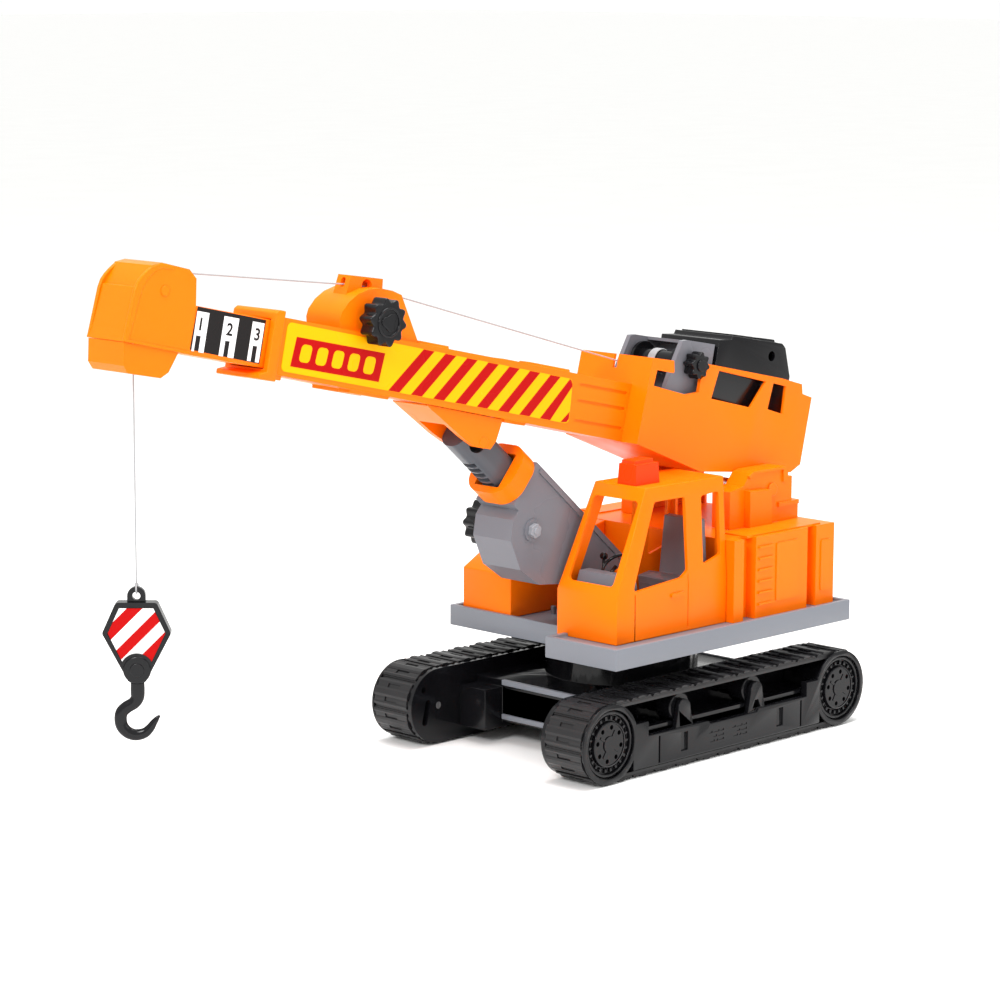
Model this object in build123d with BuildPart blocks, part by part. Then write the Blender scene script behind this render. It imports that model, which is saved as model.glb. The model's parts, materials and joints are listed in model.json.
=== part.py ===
"""Toy crawler crane with a telescopic boom, built as separate moulded pieces.

The frame used while modelling has its origin on the ground, on the slewing axis,
with +X towards the boom head, +Y to the cab side and +Z up.  Every finished piece
is moved by row_shift on export, so that the row frame's origin lies on the ground
under the middle of the whole crane.  Millimetres.
"""
import os
from math import asin, atan2, cos, degrees, hypot, pi, radians, sin

from build123d import *

# ---- driving dimensions -------------------------------------------------------------
wall = 2.0                  # usual wall of a moulded shell
fit_gap = 0.05              # radial running clearance of a pin or shaft
body_gap = 0.4              # clearance between pieces that move past each other

# tracks
wheel_base = 198.0
wheel_z = 22.8              # wheel centre above the ground
wheel_r = 18.3
belt_inner_r = 18.8
belt_carcass_r = 21.2
belt_outer_r = 22.8
belt_in_y = 54.0            # inner and outer edge of the belt from the middle
belt_out_y = 80.6
grouser_pitch = 9.0
grouser_width = 3.4
track_out_y = 82.6
frame_in_y = 50.6
beam_top_z = 26.0
beam_half_x = 76.0
plate_bottom_z = 5.0
plate_top_z = 22.6
roller_xs = (36.9, -25.3)
roller_z = 33.0
roller_r = 5.5
spigot_r = 1.95
axle_r = 2.0

# chassis and slewing
chassis_half_x = 68.0
chassis_bottom_z = 12.0
chassis_top_z = 36.0
pedestal_r = 44.0
pedestal_top_z = 60.0
slew_bore_r = 14.0

# deck
deck_bottom_z = 60.7
deck_floor_z = 70.6
deck_top_z = 72.7
deck_rear_x = -113.9
deck_front_x = 63.7
deck_cab_x = 89.4
deck_half_y = 77.0
deck_step_y = 23.7

# cab
cab_rear_x = -18.4
cab_front_x = 73.9
cab_roof_x = 47.2
cab_crease_z = 96.7
cab_roof_z = 154.7
cab_near_y = 63.0
cab_far_y = 17.9
cab_taper = 3.5

# engine housing and boom towers
engine_rear_x = -109.0
engine_front_x = -19.0
engine_half_y = 68.0
engine_top_z = 118.0
tower_in_y = 28.6
tower_out_y = 42.0
tower_top_z = 150.0

# boom, in its own frame: s along the boom from the pivot, t square to it, upwards
boom_pivot_x = -82.5
boom_pivot_z = 137.5
boom_rest_angle = 12.4
boom_pin_r = 3.0
boom_half_y = 15.4
boom_top_t = 46.2
boom_front_s = 374.6
housing_half_y = 27.5
housing_rear_s = -42.0
housing_top_rear_t = 58.0
housing_front_s = 107.0
shelf_t = 44.0
inner_half_y = 12.2
inner_bottom_t = 19.2
inner_top_t = 43.8
inner_rear_s = 205.0
inner_front_s = 437.0
collar_front_s = 386.2
collar_half_y = 16.6

# boom extension drive: a pinion on the knob shaft and a rack on the inner boom
gear_module = 1.5
extend_teeth = 14
extend_s = 312.5
extend_t = 53.1
rack_pitch_t = extend_t - gear_module * extend_teeth / 2

# luffing ram, in its own frame: a along the ram from its lower pin, b square to it
ram_pin_x = 6.6
ram_pin_z = 80.3
rod_pin_s = 215.1
ram_half_y = 14.6
luff_teeth = 10
luff_a = 97.0
luff_b = -16.0
luff_rack_b = luff_b + gear_module * luff_teeth / 2

# winch and head sheave
winch_s = 65.0
winch_t = 63.3
drum_r = 7.0
sheave_s = 453.4
sheave_t = 48.0
sheave_r = 9.0
head_half_y = 14.3
head_split_t = 19.8
head_front_s = 474.0
cord_r = 0.4
eyelet_s = 311.4
eyelet_t = 70.8

# hook block, hanging under the head sheave
ring_z = 129.6
block_top_z = 126.6
block_wide_z = 111.0
block_bottom_z = 86.2
block_half_depth = 3.6
hook_eye_z = 69.6
block_ring_top_z = 134.4

theta = radians(boom_rest_angle)
crane_rear_x = boom_pivot_x + housing_rear_s * cos(theta) - housing_top_rear_t * sin(theta)
crane_front_x = boom_pivot_x + head_front_s * cos(theta) - head_split_t * sin(theta)
row_shift = -(crane_rear_x + crane_front_x) / 2
rod_pin_x = boom_pivot_x + rod_pin_s * cos(theta)
rod_pin_z = boom_pivot_z + rod_pin_s * sin(theta)
ram_angle = atan2(rod_pin_z - ram_pin_z, rod_pin_x - ram_pin_x)
rod_pin_a = hypot(rod_pin_z - ram_pin_z, rod_pin_x - ram_pin_x)
sheave_x = boom_pivot_x + sheave_s * cos(theta) - sheave_t * sin(theta)
sheave_z = boom_pivot_z + sheave_s * sin(theta) + sheave_t * cos(theta)
hook_x = sheave_x + sheave_r
eyelet_reach = hypot(sheave_s - eyelet_s, sheave_t - eyelet_t)
top_slope = atan2(eyelet_t - sheave_t, sheave_s - eyelet_s) - asin(sheave_r / eyelet_reach)


# ---- planes and small helpers --------------------------------------------------------
def side_plane(x, z, angle=0.0, y=0.0):
    """A plane square to Y; its X runs forward (tilted up by angle), its Y runs up."""
    return Plane(origin=(x, y, z), x_dir=(cos(angle), 0, sin(angle)), z_dir=(0, -1, 0))


ground_plane = side_plane(0, 0)
boom_plane = side_plane(boom_pivot_x, boom_pivot_z, theta)
ram_plane = side_plane(ram_pin_x, ram_pin_z, ram_angle)


def at_y(plane, y):
    """The same plane, moved so that it cuts the Y axis at y."""
    return plane.offset(-y)


def span(side, inner, outer):
    """The Y plane to sketch on and the depth to extrude for one side of the machine."""
    high = outer if side > 0 else -inner
    return high, outer - inner


def save(builder, label):
    """Labels a finished piece and writes it in the row frame."""
    builder.part.label = label
    export_step(builder.part.moved(Location((row_shift, 0, 0))), f"parts/{label}.step")


def side_name(side):
    return "left" if side > 0 else "right"


# ---- tracks --------------------------------------------------------------------------
def track_belt(side):
    high, depth = span(side, belt_in_y, belt_out_y)
    grouser_r = (belt_carcass_r - 0.2 + belt_outer_r) / 2
    grouser_h = belt_outer_r - belt_carcass_r + 0.2
    runs = round(wheel_base / grouser_pitch)
    bends = round(pi * belt_outer_r / grouser_pitch)
    with BuildPart() as belt:
        with BuildSketch(side_plane(0, wheel_z, y=high)):
            SlotCenterToCenter(wheel_base, 2 * belt_carcass_r)
            SlotCenterToCenter(wheel_base, 2 * belt_inner_r, mode=Mode.SUBTRACT)
            with GridLocations(wheel_base / runs, 2 * grouser_r, runs + 1, 2):
                Rectangle(grouser_width, grouser_h)
            for end in (1, -1):
                for i in range(1, bends):
                    angle = 180 * i / bends - 90
                    x = end * (wheel_base / 2 + grouser_r * cos(radians(angle)))
                    z = grouser_r * sin(radians(angle))
                    with Locations(Location((x, z, 0), (0, 0, 90 + end * angle))):
                        Rectangle(grouser_width, grouser_h)
        extrude(amount=depth)
    save(belt, f"track_belt_{side_name(side)}")


def track_frame(side):
    """Inner flange plate with the beam that lies inside the belt loop."""
    plate_y = frame_in_y + 3.1
    flange_high, flange_depth = span(side, frame_in_y, plate_y)
    beam_high, beam_depth = span(side, plate_y, 77.6)
    cavity_high, cavity_depth = span(side, plate_y + wall, 77.6)
    spigot_high, spigot_depth = span(side, plate_y, 77.9)
    with BuildPart() as frame:
        with BuildSketch(side_plane(0, wheel_z, y=flange_high)):
            SlotCenterToCenter(wheel_base, 43.0)
            for end in (1, -1):
                with Locations((end * (wheel_base / 2 + 11.5), 10.4)):
                    Circle(1.7, mode=Mode.SUBTRACT)
                with Locations((end * (wheel_base / 2 + 9.5), -3.0)):
                    SlotOverall(15, 4.0, rotation=90 + end * 14, mode=Mode.SUBTRACT)
                with Locations((end * wheel_base / 2, 0)):
                    Circle(axle_r + 0.02, mode=Mode.SUBTRACT)
        extrude(amount=flange_depth)
        with BuildSketch(at_y(ground_plane, beam_high)):
            with Locations((0, (7.0 + beam_top_z) / 2)):
                Rectangle(2 * beam_half_x, beam_top_z - 7.0)
        extrude(amount=beam_depth)
        with BuildSketch(at_y(ground_plane, cavity_high)):
            with Locations((0, (7.0 + beam_top_z) / 2)):
                Rectangle(2 * beam_half_x - 2 * wall, beam_top_z - 7.0 - 2 * wall)
        extrude(amount=cavity_depth, mode=Mode.SUBTRACT)
        with BuildSketch(at_y(ground_plane, spigot_high)):
            for x in roller_xs:
                with Locations((x, roller_z)):
                    Circle(spigot_r)
        extrude(amount=spigot_depth)
    save(frame, f"track_frame_{side_name(side)}")


def side_plate(side):
    """Outer plate with the guard ring round each wheel and the roller brackets."""
    body_high, body_depth = span(side, 78.0, track_out_y)
    ring_high, ring_depth = span(side, 80.9, track_out_y)
    bracket_high, bracket_depth = span(side, 78.0, 81.0)
    slot_high, slot_depth = span(side, track_out_y - 1.5, track_out_y)
    mark_high, mark_depth = span(side, track_out_y - 0.35, track_out_y)
    window_high, window_depth = span(side, 77.0, 81.0)
    with BuildPart() as plate:
        with BuildSketch(at_y(ground_plane, body_high)):
            Polygon((-80.5, plate_bottom_z), (80.5, plate_bottom_z), (80.5, 30.7), (68.4, 30.7),
                    (68.4, plate_top_z), (18.0, plate_top_z), (16.5, 20.8), (-24.0, 20.8),
                    (-25.5, plate_top_z), (-68.4, plate_top_z), (-68.4, 30.7), (-80.5, 30.7), align=None)
            for end in (1, -1):
                with Locations((end * wheel_base / 2, wheel_z)):
                    Circle(19.0, mode=Mode.SUBTRACT)
        extrude(amount=body_depth)
        with BuildSketch(at_y(ground_plane, ring_high)):
            for end in (1, -1):
                with Locations((end * wheel_base / 2, wheel_z)):
                    Circle(22.0)
                    Circle(19.0, mode=Mode.SUBTRACT)
        extrude(amount=ring_depth)
        with BuildSketch(at_y(ground_plane, bracket_high)):
            for x in roller_xs:
                Polygon((x - 8, 19), (x + 8, 19), (x + 4.6, roller_z + 1), (x - 4.6, roller_z + 1),
                        align=None)
                with Locations((x, roller_z)):
                    Circle(5.0)
        extrude(amount=bracket_depth)
        with BuildSketch(at_y(ground_plane, slot_high)):
            with Locations((38.4, 14.6), (-44.3, 14.6)):
                Rectangle(5.5, 10.5)
            with Locations((59.3, 13.5), (-63.3, 13.5)):
                Rectangle(1.2, 15.0)
        extrude(amount=slot_depth, mode=Mode.SUBTRACT)
        with BuildSketch(at_y(ground_plane, window_high)):
            for x in roller_xs:
                Polygon((x - 3.4, 22.8), (x + 3.4, 22.8), (x + 1.4, roller_z - 5.6), (x - 1.4, roller_z - 5.6),
                        align=None)
        extrude(amount=window_depth, mode=Mode.SUBTRACT)
        with BuildSketch(at_y(ground_plane, mark_high)):
            for x in (-15.0, 5.0):
                for row, widths in enumerate(((3.0, 5.0, 3.0), (5.0, 3.0), (4.0, 2.0, 4.0))):
                    start = x
                    for width in widths:
                        with Locations((start + width / 2, 15.8 - 2.6 * row)):
                            Rectangle(width, 1.1)
                        start += width + 0.9
        extrude(amount=mark_depth, mode=Mode.SUBTRACT)
    save(plate, f"side_plate_{side_name(side)}")


def wheel_axles():
    """Four steel stub axles, pressed through the inner flanges."""
    with BuildPart() as axles:
        for side in (1, -1):
            high, depth = span(side, frame_in_y, 79.0)
            with BuildSketch(side_plane(0, wheel_z, y=high)):
                with Locations((wheel_base / 2, 0), (-wheel_base / 2, 0)):
                    Circle(axle_r)
            extrude(amount=depth)
    save(axles, "wheel_axles")


def track_wheel(side, end):
    """A moulded wheel with a rimmed face, a ring of pockets and a raised hub."""
    x = end * wheel_base / 2
    full_high, full_depth = span(side, 54.2, 81.4)
    bore_high, bore_depth = span(side, 54.2, 79.3)
    groove_high, groove_depth = span(side, 79.0, 81.4)
    tooth_high, tooth_depth = span(side, 78.8, 80.8)
    rim_high, rim_depth = span(side, 81.0, 81.8)
    hub_high, hub_depth = span(side, 78.5, 82.0)
    with BuildPart() as wheel:
        with BuildSketch(side_plane(x, wheel_z, y=full_high)):
            Circle(wheel_r)
        extrude(amount=full_depth)
        with BuildSketch(side_plane(x, wheel_z, y=groove_high)):
            Circle(16.6)
            Circle(12.6, mode=Mode.SUBTRACT)
            with PolarLocations(9.4, 8, start_angle=10):
                Circle(1.3)
        extrude(amount=groove_depth, mode=Mode.SUBTRACT)
        with BuildSketch(side_plane(x, wheel_z, y=tooth_high)):
            with PolarLocations(14.6, 22):
                Rectangle(2.2, 1.6)
        extrude(amount=tooth_depth)
        with BuildSketch(side_plane(x, wheel_z, y=rim_high)):
            Circle(12.6)
            Circle(11.6, mode=Mode.SUBTRACT)
            with PolarLocations(6.0, 4, start_angle=32.5):
                Rectangle(5.0, 1.4)
        extrude(amount=rim_depth)
        with BuildSketch(side_plane(x, wheel_z, y=hub_high)):
            Circle(4.6)
        extrude(amount=hub_depth)
        with BuildSketch(side_plane(x, wheel_z, y=bore_high)):
            Circle(axle_r + fit_gap)
        extrude(amount=bore_depth, mode=Mode.SUBTRACT)
    save(wheel, f"{'front' if end > 0 else 'rear'}_wheel_{side_name(side)}")


def return_roller(side, index):
    high, depth = span(side, 56.0, 77.5)
    with BuildPart() as roller:
        with BuildSketch(side_plane(roller_xs[index], roller_z, y=high)):
            Circle(roller_r)
            Circle(spigot_r + fit_gap, mode=Mode.SUBTRACT)
        extrude(amount=depth)
    save(roller, f"{('front', 'rear')[index]}_roller_{side_name(side)}")


# ---- chassis and slewing -------------------------------------------------------------
def centre_chassis():
    """Hollow cross frame between the tracks, with the pedestal that carries the deck."""
    cavity = 2 * (chassis_half_x - 12)
    with BuildPart() as chassis:
        with BuildSketch(Plane.XY.offset(chassis_bottom_z)):
            Rectangle(2 * chassis_half_x, 2 * frame_in_y)
        extrude(amount=chassis_top_z - chassis_bottom_z)
        with BuildSketch(Plane.XY.offset(8.5)):
            with GridLocations(2 * (chassis_half_x + 1.0), 2 * 40.3, 2, 2):
                Rectangle(26, 20.6)
        extrude(amount=23.5)
        with BuildSketch(Plane.XY.offset(chassis_bottom_z)):
            Rectangle(cavity, 2 * (frame_in_y - 2.6))
        extrude(amount=chassis_top_z - chassis_bottom_z - 2.5, mode=Mode.SUBTRACT)
        with BuildSketch(Plane.XY.offset(17)):
            with GridLocations(2 * (chassis_half_x - 3.5), 0, 2, 1):
                Rectangle(7.01, 59)
        extrude(amount=14, mode=Mode.SUBTRACT)
        with BuildSketch(Plane.XY.offset(chassis_top_z - 0.5)):
            Circle(pedestal_r)
        extrude(amount=pedestal_top_z - chassis_top_z - 3)
        with BuildSketch(Plane.XY.offset(56)):
            Circle(47.0)
        extrude(amount=pedestal_top_z - 56)
        with BuildSketch(Plane.XY.offset(chassis_top_z - 2.5)):
            Circle(pedestal_r - 2.5)
        extrude(amount=pedestal_top_z - chassis_top_z - 0.5, mode=Mode.SUBTRACT)
        with BuildSketch(Plane.XY.offset(44.6)):
            Circle(slew_bore_r + 4)
        extrude(amount=pedestal_top_z - 44.6)
        with BuildSketch(Plane.XY.offset(44.6)):
            Circle(slew_bore_r)
        extrude(amount=20, mode=Mode.SUBTRACT)
    save(chassis, "centre_chassis")


def slew_retainer():
    """Disc under the pedestal boss; the screw clamps it to the deck's spigot."""
    with BuildPart() as retainer:
        with BuildSketch(Plane.XY.offset(41.6)):
            Circle(17.0)
            Circle(1.7, mode=Mode.SUBTRACT)
        extrude(amount=2.5)
    save(retainer, "slew_retainer")


# ---- deck ----------------------------------------------------------------------------
def deck_outline(inset):
    """The deck's plan, narrower in front of the ram than in front of the cab."""
    Polygon((deck_rear_x + inset, -deck_half_y + inset), (deck_front_x - inset, -deck_half_y + inset),
            (deck_front_x - inset, deck_step_y + inset), (deck_cab_x - inset, deck_step_y + inset),
            (deck_cab_x - inset, deck_half_y - inset), (deck_rear_x + inset, deck_half_y - inset),
            align=None)


def deck():
    with BuildPart() as slab:
        with BuildSketch(Plane.XY.offset(deck_bottom_z)):
            deck_outline(0)
        extrude(amount=deck_top_z - deck_bottom_z)
        with BuildSketch(Plane.XY.offset(deck_bottom_z)):
            deck_outline(2.5)
        extrude(amount=deck_floor_z - 2.4 - deck_bottom_z, mode=Mode.SUBTRACT)
        with BuildSketch(Plane.XY.offset(deck_floor_z)):
            deck_outline(3.0)
        extrude(amount=deck_top_z - deck_floor_z, mode=Mode.SUBTRACT)
        with BuildSketch(Plane.XY.offset(deck_floor_z)):
            with Locations(((cab_rear_x + cab_front_x) / 2, (cab_far_y + cab_near_y) / 2)):
                Rectangle(cab_front_x - cab_rear_x + 0.2, cab_near_y - cab_far_y + 0.2)
        extrude(amount=deck_top_z - deck_floor_z, mode=Mode.SUBTRACT)
        with BuildSketch(Plane.XY.offset(pedestal_top_z + body_gap)):
            Circle(36.0)
            Circle(33.0, mode=Mode.SUBTRACT)
            Circle(slew_bore_r + 4)
        extrude(amount=9.0)
        with BuildSketch(Plane.XY.offset(44.2)):
            Circle(slew_bore_r - fit_gap)
        extrude(amount=20.0)
        with BuildSketch(Plane.XY.offset(44.2)):
            Circle(1.55)
        extrude(amount=16.0, mode=Mode.SUBTRACT)
        with BuildSketch(Plane.XY.offset(deck_floor_z)):
            with Locations((34.4, -22.0)):
                Rectangle(2.5, 2.5)
        extrude(amount=5.0)
        for side in (1, -1):
            high, depth = span(side, 15.2, 17.6)
            with BuildSketch(at_y(ground_plane, high)):
                Polygon((ram_pin_x - 11, deck_floor_z - 1), (ram_pin_x + 11, deck_floor_z - 1),
                        (ram_pin_x + 5.5, ram_pin_z + 1), (ram_pin_x - 5.5, ram_pin_z + 1), align=None)
                with Locations((ram_pin_x, ram_pin_z)):
                    Circle(5.6)
                    Circle(2.52, mode=Mode.SUBTRACT)
            extrude(amount=depth)
    save(slab, "deck")


def screws():
    """The slewing screw, and the self-tapping screws under the deck."""
    with BuildPart() as screw_group:
        with BuildSketch(Plane.XY.offset(66.6)):
            with Locations((-100, 58), (-100, -58), (-30, -58), (50, 48), (0, 48)):
                Circle(3.0)
        extrude(amount=1.6)
        with BuildSketch(Plane.XY.offset(38.6)):
            Circle(4.2)
        extrude(amount=3.0)
        with BuildSketch(Plane.XY.offset(41.0)):
            Circle(1.5)
        extrude(amount=17.0)
        with BuildSketch(Plane.XY.offset(38.6)):
            Rectangle(5.0, 1.0)
            Rectangle(1.0, 5.0)
        extrude(amount=1.6, mode=Mode.SUBTRACT)
    save(screw_group, "screws")


def ram_pin():
    with BuildPart() as pin:
        with BuildSketch(at_y(side_plane(ram_pin_x, ram_pin_z), 17.6)):
            Circle(2.5)
        extrude(amount=35.2)
    save(pin, "ram_pin")


# ---- cab -----------------------------------------------------------------------------
def cab_side_profile(inset):
    slope = (cab_front_x - cab_roof_x) / (cab_roof_z - cab_crease_z)
    lean = inset * hypot(1, slope)
    Polygon((cab_rear_x + inset, deck_floor_z), (cab_front_x - inset, deck_floor_z),
            (cab_front_x - inset, cab_crease_z + inset * 0.2),
            (cab_roof_x - lean + inset * slope, cab_roof_z - inset),
            (cab_rear_x + inset, cab_roof_z - inset), align=None)


def cab_front_profile(inset):
    Polygon((cab_far_y + inset, deck_floor_z), (cab_near_y - inset, deck_floor_z),
            (cab_near_y - inset, cab_crease_z), (cab_near_y - cab_taper - inset, cab_roof_z - inset),
            (cab_far_y + cab_taper + inset, cab_roof_z - inset), (cab_far_y + inset, cab_crease_z),
            align=None)


def cab_shell():
    front_view = Plane(origin=(-60, 0, 0), x_dir=(0, 1, 0), z_dir=(1, 0, 0))
    with BuildPart() as inside:
        with BuildSketch(at_y(ground_plane, 90)):
            cab_side_profile(wall)
        extrude(amount=100)
        with BuildSketch(front_view):
            cab_front_profile(wall)
        extrude(amount=200, mode=Mode.INTERSECT)
    with BuildPart() as cab:
        with BuildSketch(at_y(ground_plane, 90)):
            cab_side_profile(0)
        extrude(amount=100)
        with BuildSketch(front_view):
            cab_front_profile(0)
        extrude(amount=200, mode=Mode.INTERSECT)
        add(inside.part, mode=Mode.SUBTRACT)
        with BuildSketch(at_y(ground_plane, 70)) as side_windows:
            Polygon((60.5, 98.5), (40.5, 146.5), (15.0, 146.5), (14.5, 105.0), (20.0, 101.5), align=None)
            Polygon((1.5, 106.5), (1.5, 145.5), (-13.6, 146.5), (-13.6, 110.5), align=None)
            fillet(side_windows.vertices(), 1.8)
        extrude(amount=60, mode=Mode.SUBTRACT)
        with BuildSketch(front_view):
            with Locations((40.5, 124.0)):
                RectangleRounded(30, 43, 2.5)
        extrude(amount=60, mode=Mode.SUBTRACT)
        with BuildSketch(front_view.offset(60)):
            with Locations((40.5, 124.8)):
                RectangleRounded(33.5, 45.5, 2.5)
        extrude(amount=100, mode=Mode.SUBTRACT)
        with BuildSketch(at_y(ground_plane, cab_near_y)):
            with Locations((58.9, 84.0)):
                Rectangle(0.7, 26.0)
            with Locations((14.6, 88.0)):
                Rectangle(0.7, 30.0)
        extrude(amount=0.6, mode=Mode.SUBTRACT)
        with BuildSketch(at_y(ground_plane, cab_near_y + 1.2)):
            with Locations((23.8, 92.6)):
                RectangleRounded(11.0, 2.4, 1.0)
        extrude(amount=1.6)
    save(cab, "cab_shell")


def cab_interior():
    """Seat, floor and dashboard moulded as one piece that clips in from below."""
    with BuildPart() as interior:
        with BuildSketch(Plane.XY.offset(deck_floor_z + 0.1)):
            with Locations((22.0, (cab_near_y + cab_far_y) / 2)):
                Rectangle(76, 38)
        extrude(amount=2.0)
        with BuildSketch(at_y(ground_plane, 54)):
            Polygon((-9, deck_floor_z + 2), (14, deck_floor_z + 2), (17, 98), (8, 99.5), (-1, 97.5),
                    (-5, 130), (-9.5, 130.5), (-12, 98), align=None)
        extrude(amount=27)
        with BuildSketch(at_y(ground_plane, 58)):
            Polygon((50, deck_floor_z + 2), (60, deck_floor_z + 2), (66, 96), (62, 106.5), (54, 106.5),
                    (52, 100), align=None)
        extrude(amount=34)
    save(interior, "cab_interior")


def roof_box():
    """Tapered box on the cab roof."""
    with BuildPart() as box:
        with BuildSketch(Plane.XY.offset(cab_roof_z)):
            with Locations((35.5, 43.5)):
                Rectangle(19.5, 14)
        extrude(amount=11.5, taper=3)
        with BuildSketch(Plane.XY.offset(cab_roof_z + 11.5)):
            with Locations((36.0, 43.0)):
                Rectangle(15.5, 10)
        extrude(amount=2.2)
    save(box, "roof_box")


# ---- engine housing, side box and towers ---------------------------------------------
def engine_outline(inset):
    """Plan of the housing: both long sides have two deep upright recesses."""
    groove = 7.0
    steps = [(engine_front_x - inset, engine_half_y - inset), (-27.5 + inset, engine_half_y - inset),
             (-27.5 + inset, engine_half_y - groove - inset), (-38.0 - inset, engine_half_y - groove - inset),
             (-38.0 - inset, engine_half_y - inset), (-84.5 + inset, engine_half_y - inset),
             (-84.5 + inset, engine_half_y - groove - inset), (-92.5 - inset, engine_half_y - groove - inset),
             (-92.5 - inset, engine_half_y - inset), (engine_rear_x + inset, engine_half_y - inset)]
    Polygon(*steps, *[(x, -y) for x, y in reversed(steps)], align=None)


def engine_housing():
    with BuildPart() as housing:
        with BuildSketch(Plane.XY.offset(deck_floor_z + 0.1)):
            engine_outline(0)
        extrude(amount=engine_top_z - deck_floor_z - 0.1)
        with BuildSketch(Plane.XY.offset(deck_floor_z + 0.1)):
            engine_outline(wall)
        extrude(amount=engine_top_z - deck_floor_z - 0.1 - wall, mode=Mode.SUBTRACT)
        with BuildSketch(Plane.XY.offset(78.0)) as rungs:
            with Locations((-46.5, engine_half_y)):
                Rectangle(12.5, 2.4)
        for i in range(6):
            extrude(rungs.sketch.moved(Location((0, 0, 6.6 * i))), amount=1.3)
        for side in (1, -1):
            high, depth = span(side, engine_half_y - 0.5, engine_half_y + 0.7)
            with BuildSketch(at_y(ground_plane, high)):
                with Locations((-66.0, 95.5)):
                    RectangleRounded(20.0, 34.0, 1.5)
                with Locations((-101.0, 94.0)):
                    RectangleRounded(9.0, 30.0, 1.2)
            extrude(amount=depth)
        with BuildSketch(Plane.XY.offset(engine_top_z - 0.5)):
            with Locations((-66.0, 57.0), (-66.0, -57.0)):
                Rectangle(66.0, 17.0)
        extrude(amount=1.3)
        with BuildSketch(Plane(origin=(engine_rear_x - 0.6, 0, 0), x_dir=(0, 1, 0), z_dir=(1, 0, 0))):
            with GridLocations(64.0, 7.0, 2, 4):
                with Locations((0, 92.0)):
                    Rectangle(40.0, 2.4)
        extrude(amount=1.0)
    save(housing, "engine_housing")


def right_side_box():
    """Hollow box ahead of the engine housing on the far side of the ram."""
    with BuildPart() as box:
        with BuildSketch(at_y(ground_plane, -31.0)):
            Polygon((engine_front_x + 0.2, deck_floor_z + 0.1), (60.6, deck_floor_z + 0.1), (60.6, 95.5),
                    (43.0, 105.0), (engine_front_x + 0.2, 118.0), align=None)
        extrude(amount=38.4)
        with BuildSketch(at_y(ground_plane, -33.0)):
            Polygon((engine_front_x + 2.2, deck_floor_z), (58.6, deck_floor_z), (58.6, 94.2),
                    (42.2, 102.9), (engine_front_x + 2.2, 115.4), align=None)
        extrude(amount=34.4, mode=Mode.SUBTRACT)
    save(box, "right_side_box")


def support_tower(side):
    """Stepped cheek that carries one end of the boom pin."""
    full_high, full_depth = span(side, tower_in_y, tower_out_y)
    pocket_high, pocket_depth = span(side, tower_in_y, tower_out_y - 2.5)
    ledge_high, ledge_depth = span(side, tower_out_y - 0.5, tower_out_y + 4.5)
    rim_high, rim_depth = span(side, tower_out_y - 0.5, tower_out_y + 1.2)
    with BuildPart() as tower:
        with BuildSketch(at_y(ground_plane, full_high)):
            Polygon((-107, 118.2), (-45, 118.2), (-45, 140), (-57, 142), (-63, 149), (-68, 150),
                    (-94, 150), (-97, 143.5), (-101, 143.5), (-101, 129), (-107, 129), align=None)
        extrude(amount=full_depth)
        with BuildSketch(at_y(ground_plane, pocket_high)):
            Polygon((-105, 118.2), (-47, 118.2), (-47, 138.5), (-58, 140.4), (-64, 147.4), (-93, 147.6),
                    (-95.5, 141.5), (-99, 141.5), (-99, 127), (-105, 127), align=None)
        extrude(amount=pocket_depth, mode=Mode.SUBTRACT)
        with BuildSketch(at_y(ground_plane, full_high)):
            with Locations((boom_pivot_x, boom_pivot_z)):
                Circle(7.0)
        extrude(amount=full_depth)
        with BuildSketch(at_y(ground_plane, ledge_high)):
            Polygon((-78, 118.2), (-58, 118.2), (-58, 139.5), (-77, 138.5), align=None)
        extrude(amount=ledge_depth)
        with BuildSketch(at_y(ground_plane, rim_high)):
            Polygon((-106.5, 126.5), (-88, 126.5), (-88, 129.0), (-106.5, 129.0), align=None)
            Polygon((-96, 141.0), (-92, 141.0), (-92, 148.4), (-66, 148.4), (-62, 146.0), (-60.5, 147.6),
                    (-65, 150.0), (-93.5, 150.0), (-96, 146.0), align=None)
        extrude(amount=rim_depth)
        with BuildSketch(at_y(ground_plane, 60)):
            with Locations((boom_pivot_x, boom_pivot_z)):
                Circle(boom_pin_r + 0.02)
        extrude(amount=120, mode=Mode.SUBTRACT)
    save(tower, f"support_tower_{side_name(side)}")


def boom_pin():
    with BuildPart() as pin:
        with BuildSketch(at_y(side_plane(boom_pivot_x, boom_pivot_z), tower_out_y + 0.8)):
            Circle(boom_pin_r)
        extrude(amount=2 * (tower_out_y + 0.8))
    save(pin, "boom_pin")


# ---- boom ----------------------------------------------------------------------------
def housing_outline():
    Polygon((housing_front_s, 13.0), (housing_front_s - 2.2, 62.4), (86.5, 63.2), (84.5, 56.0),
            (61.5, 56.0), (58.5, 65.2), (-12.0, 65.6), (-31.0, 64.6), (-33.0, 59.0),
            (housing_rear_s, housing_top_rear_t), (-41.0, 17.6), (-33.0, 11.9), (0.0, 8.5), (48.9, 3.5), align=None)


def housing_cavity():
    Polygon((housing_front_s - 2.4, 15.6), (housing_front_s - 4.4, 80.0), (housing_rear_s + 2.2, 80.0),
            (-38.8, 18.6), (-32.0, 14.1), (0.0, 10.7), (48.6, 5.8), align=None)


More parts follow.
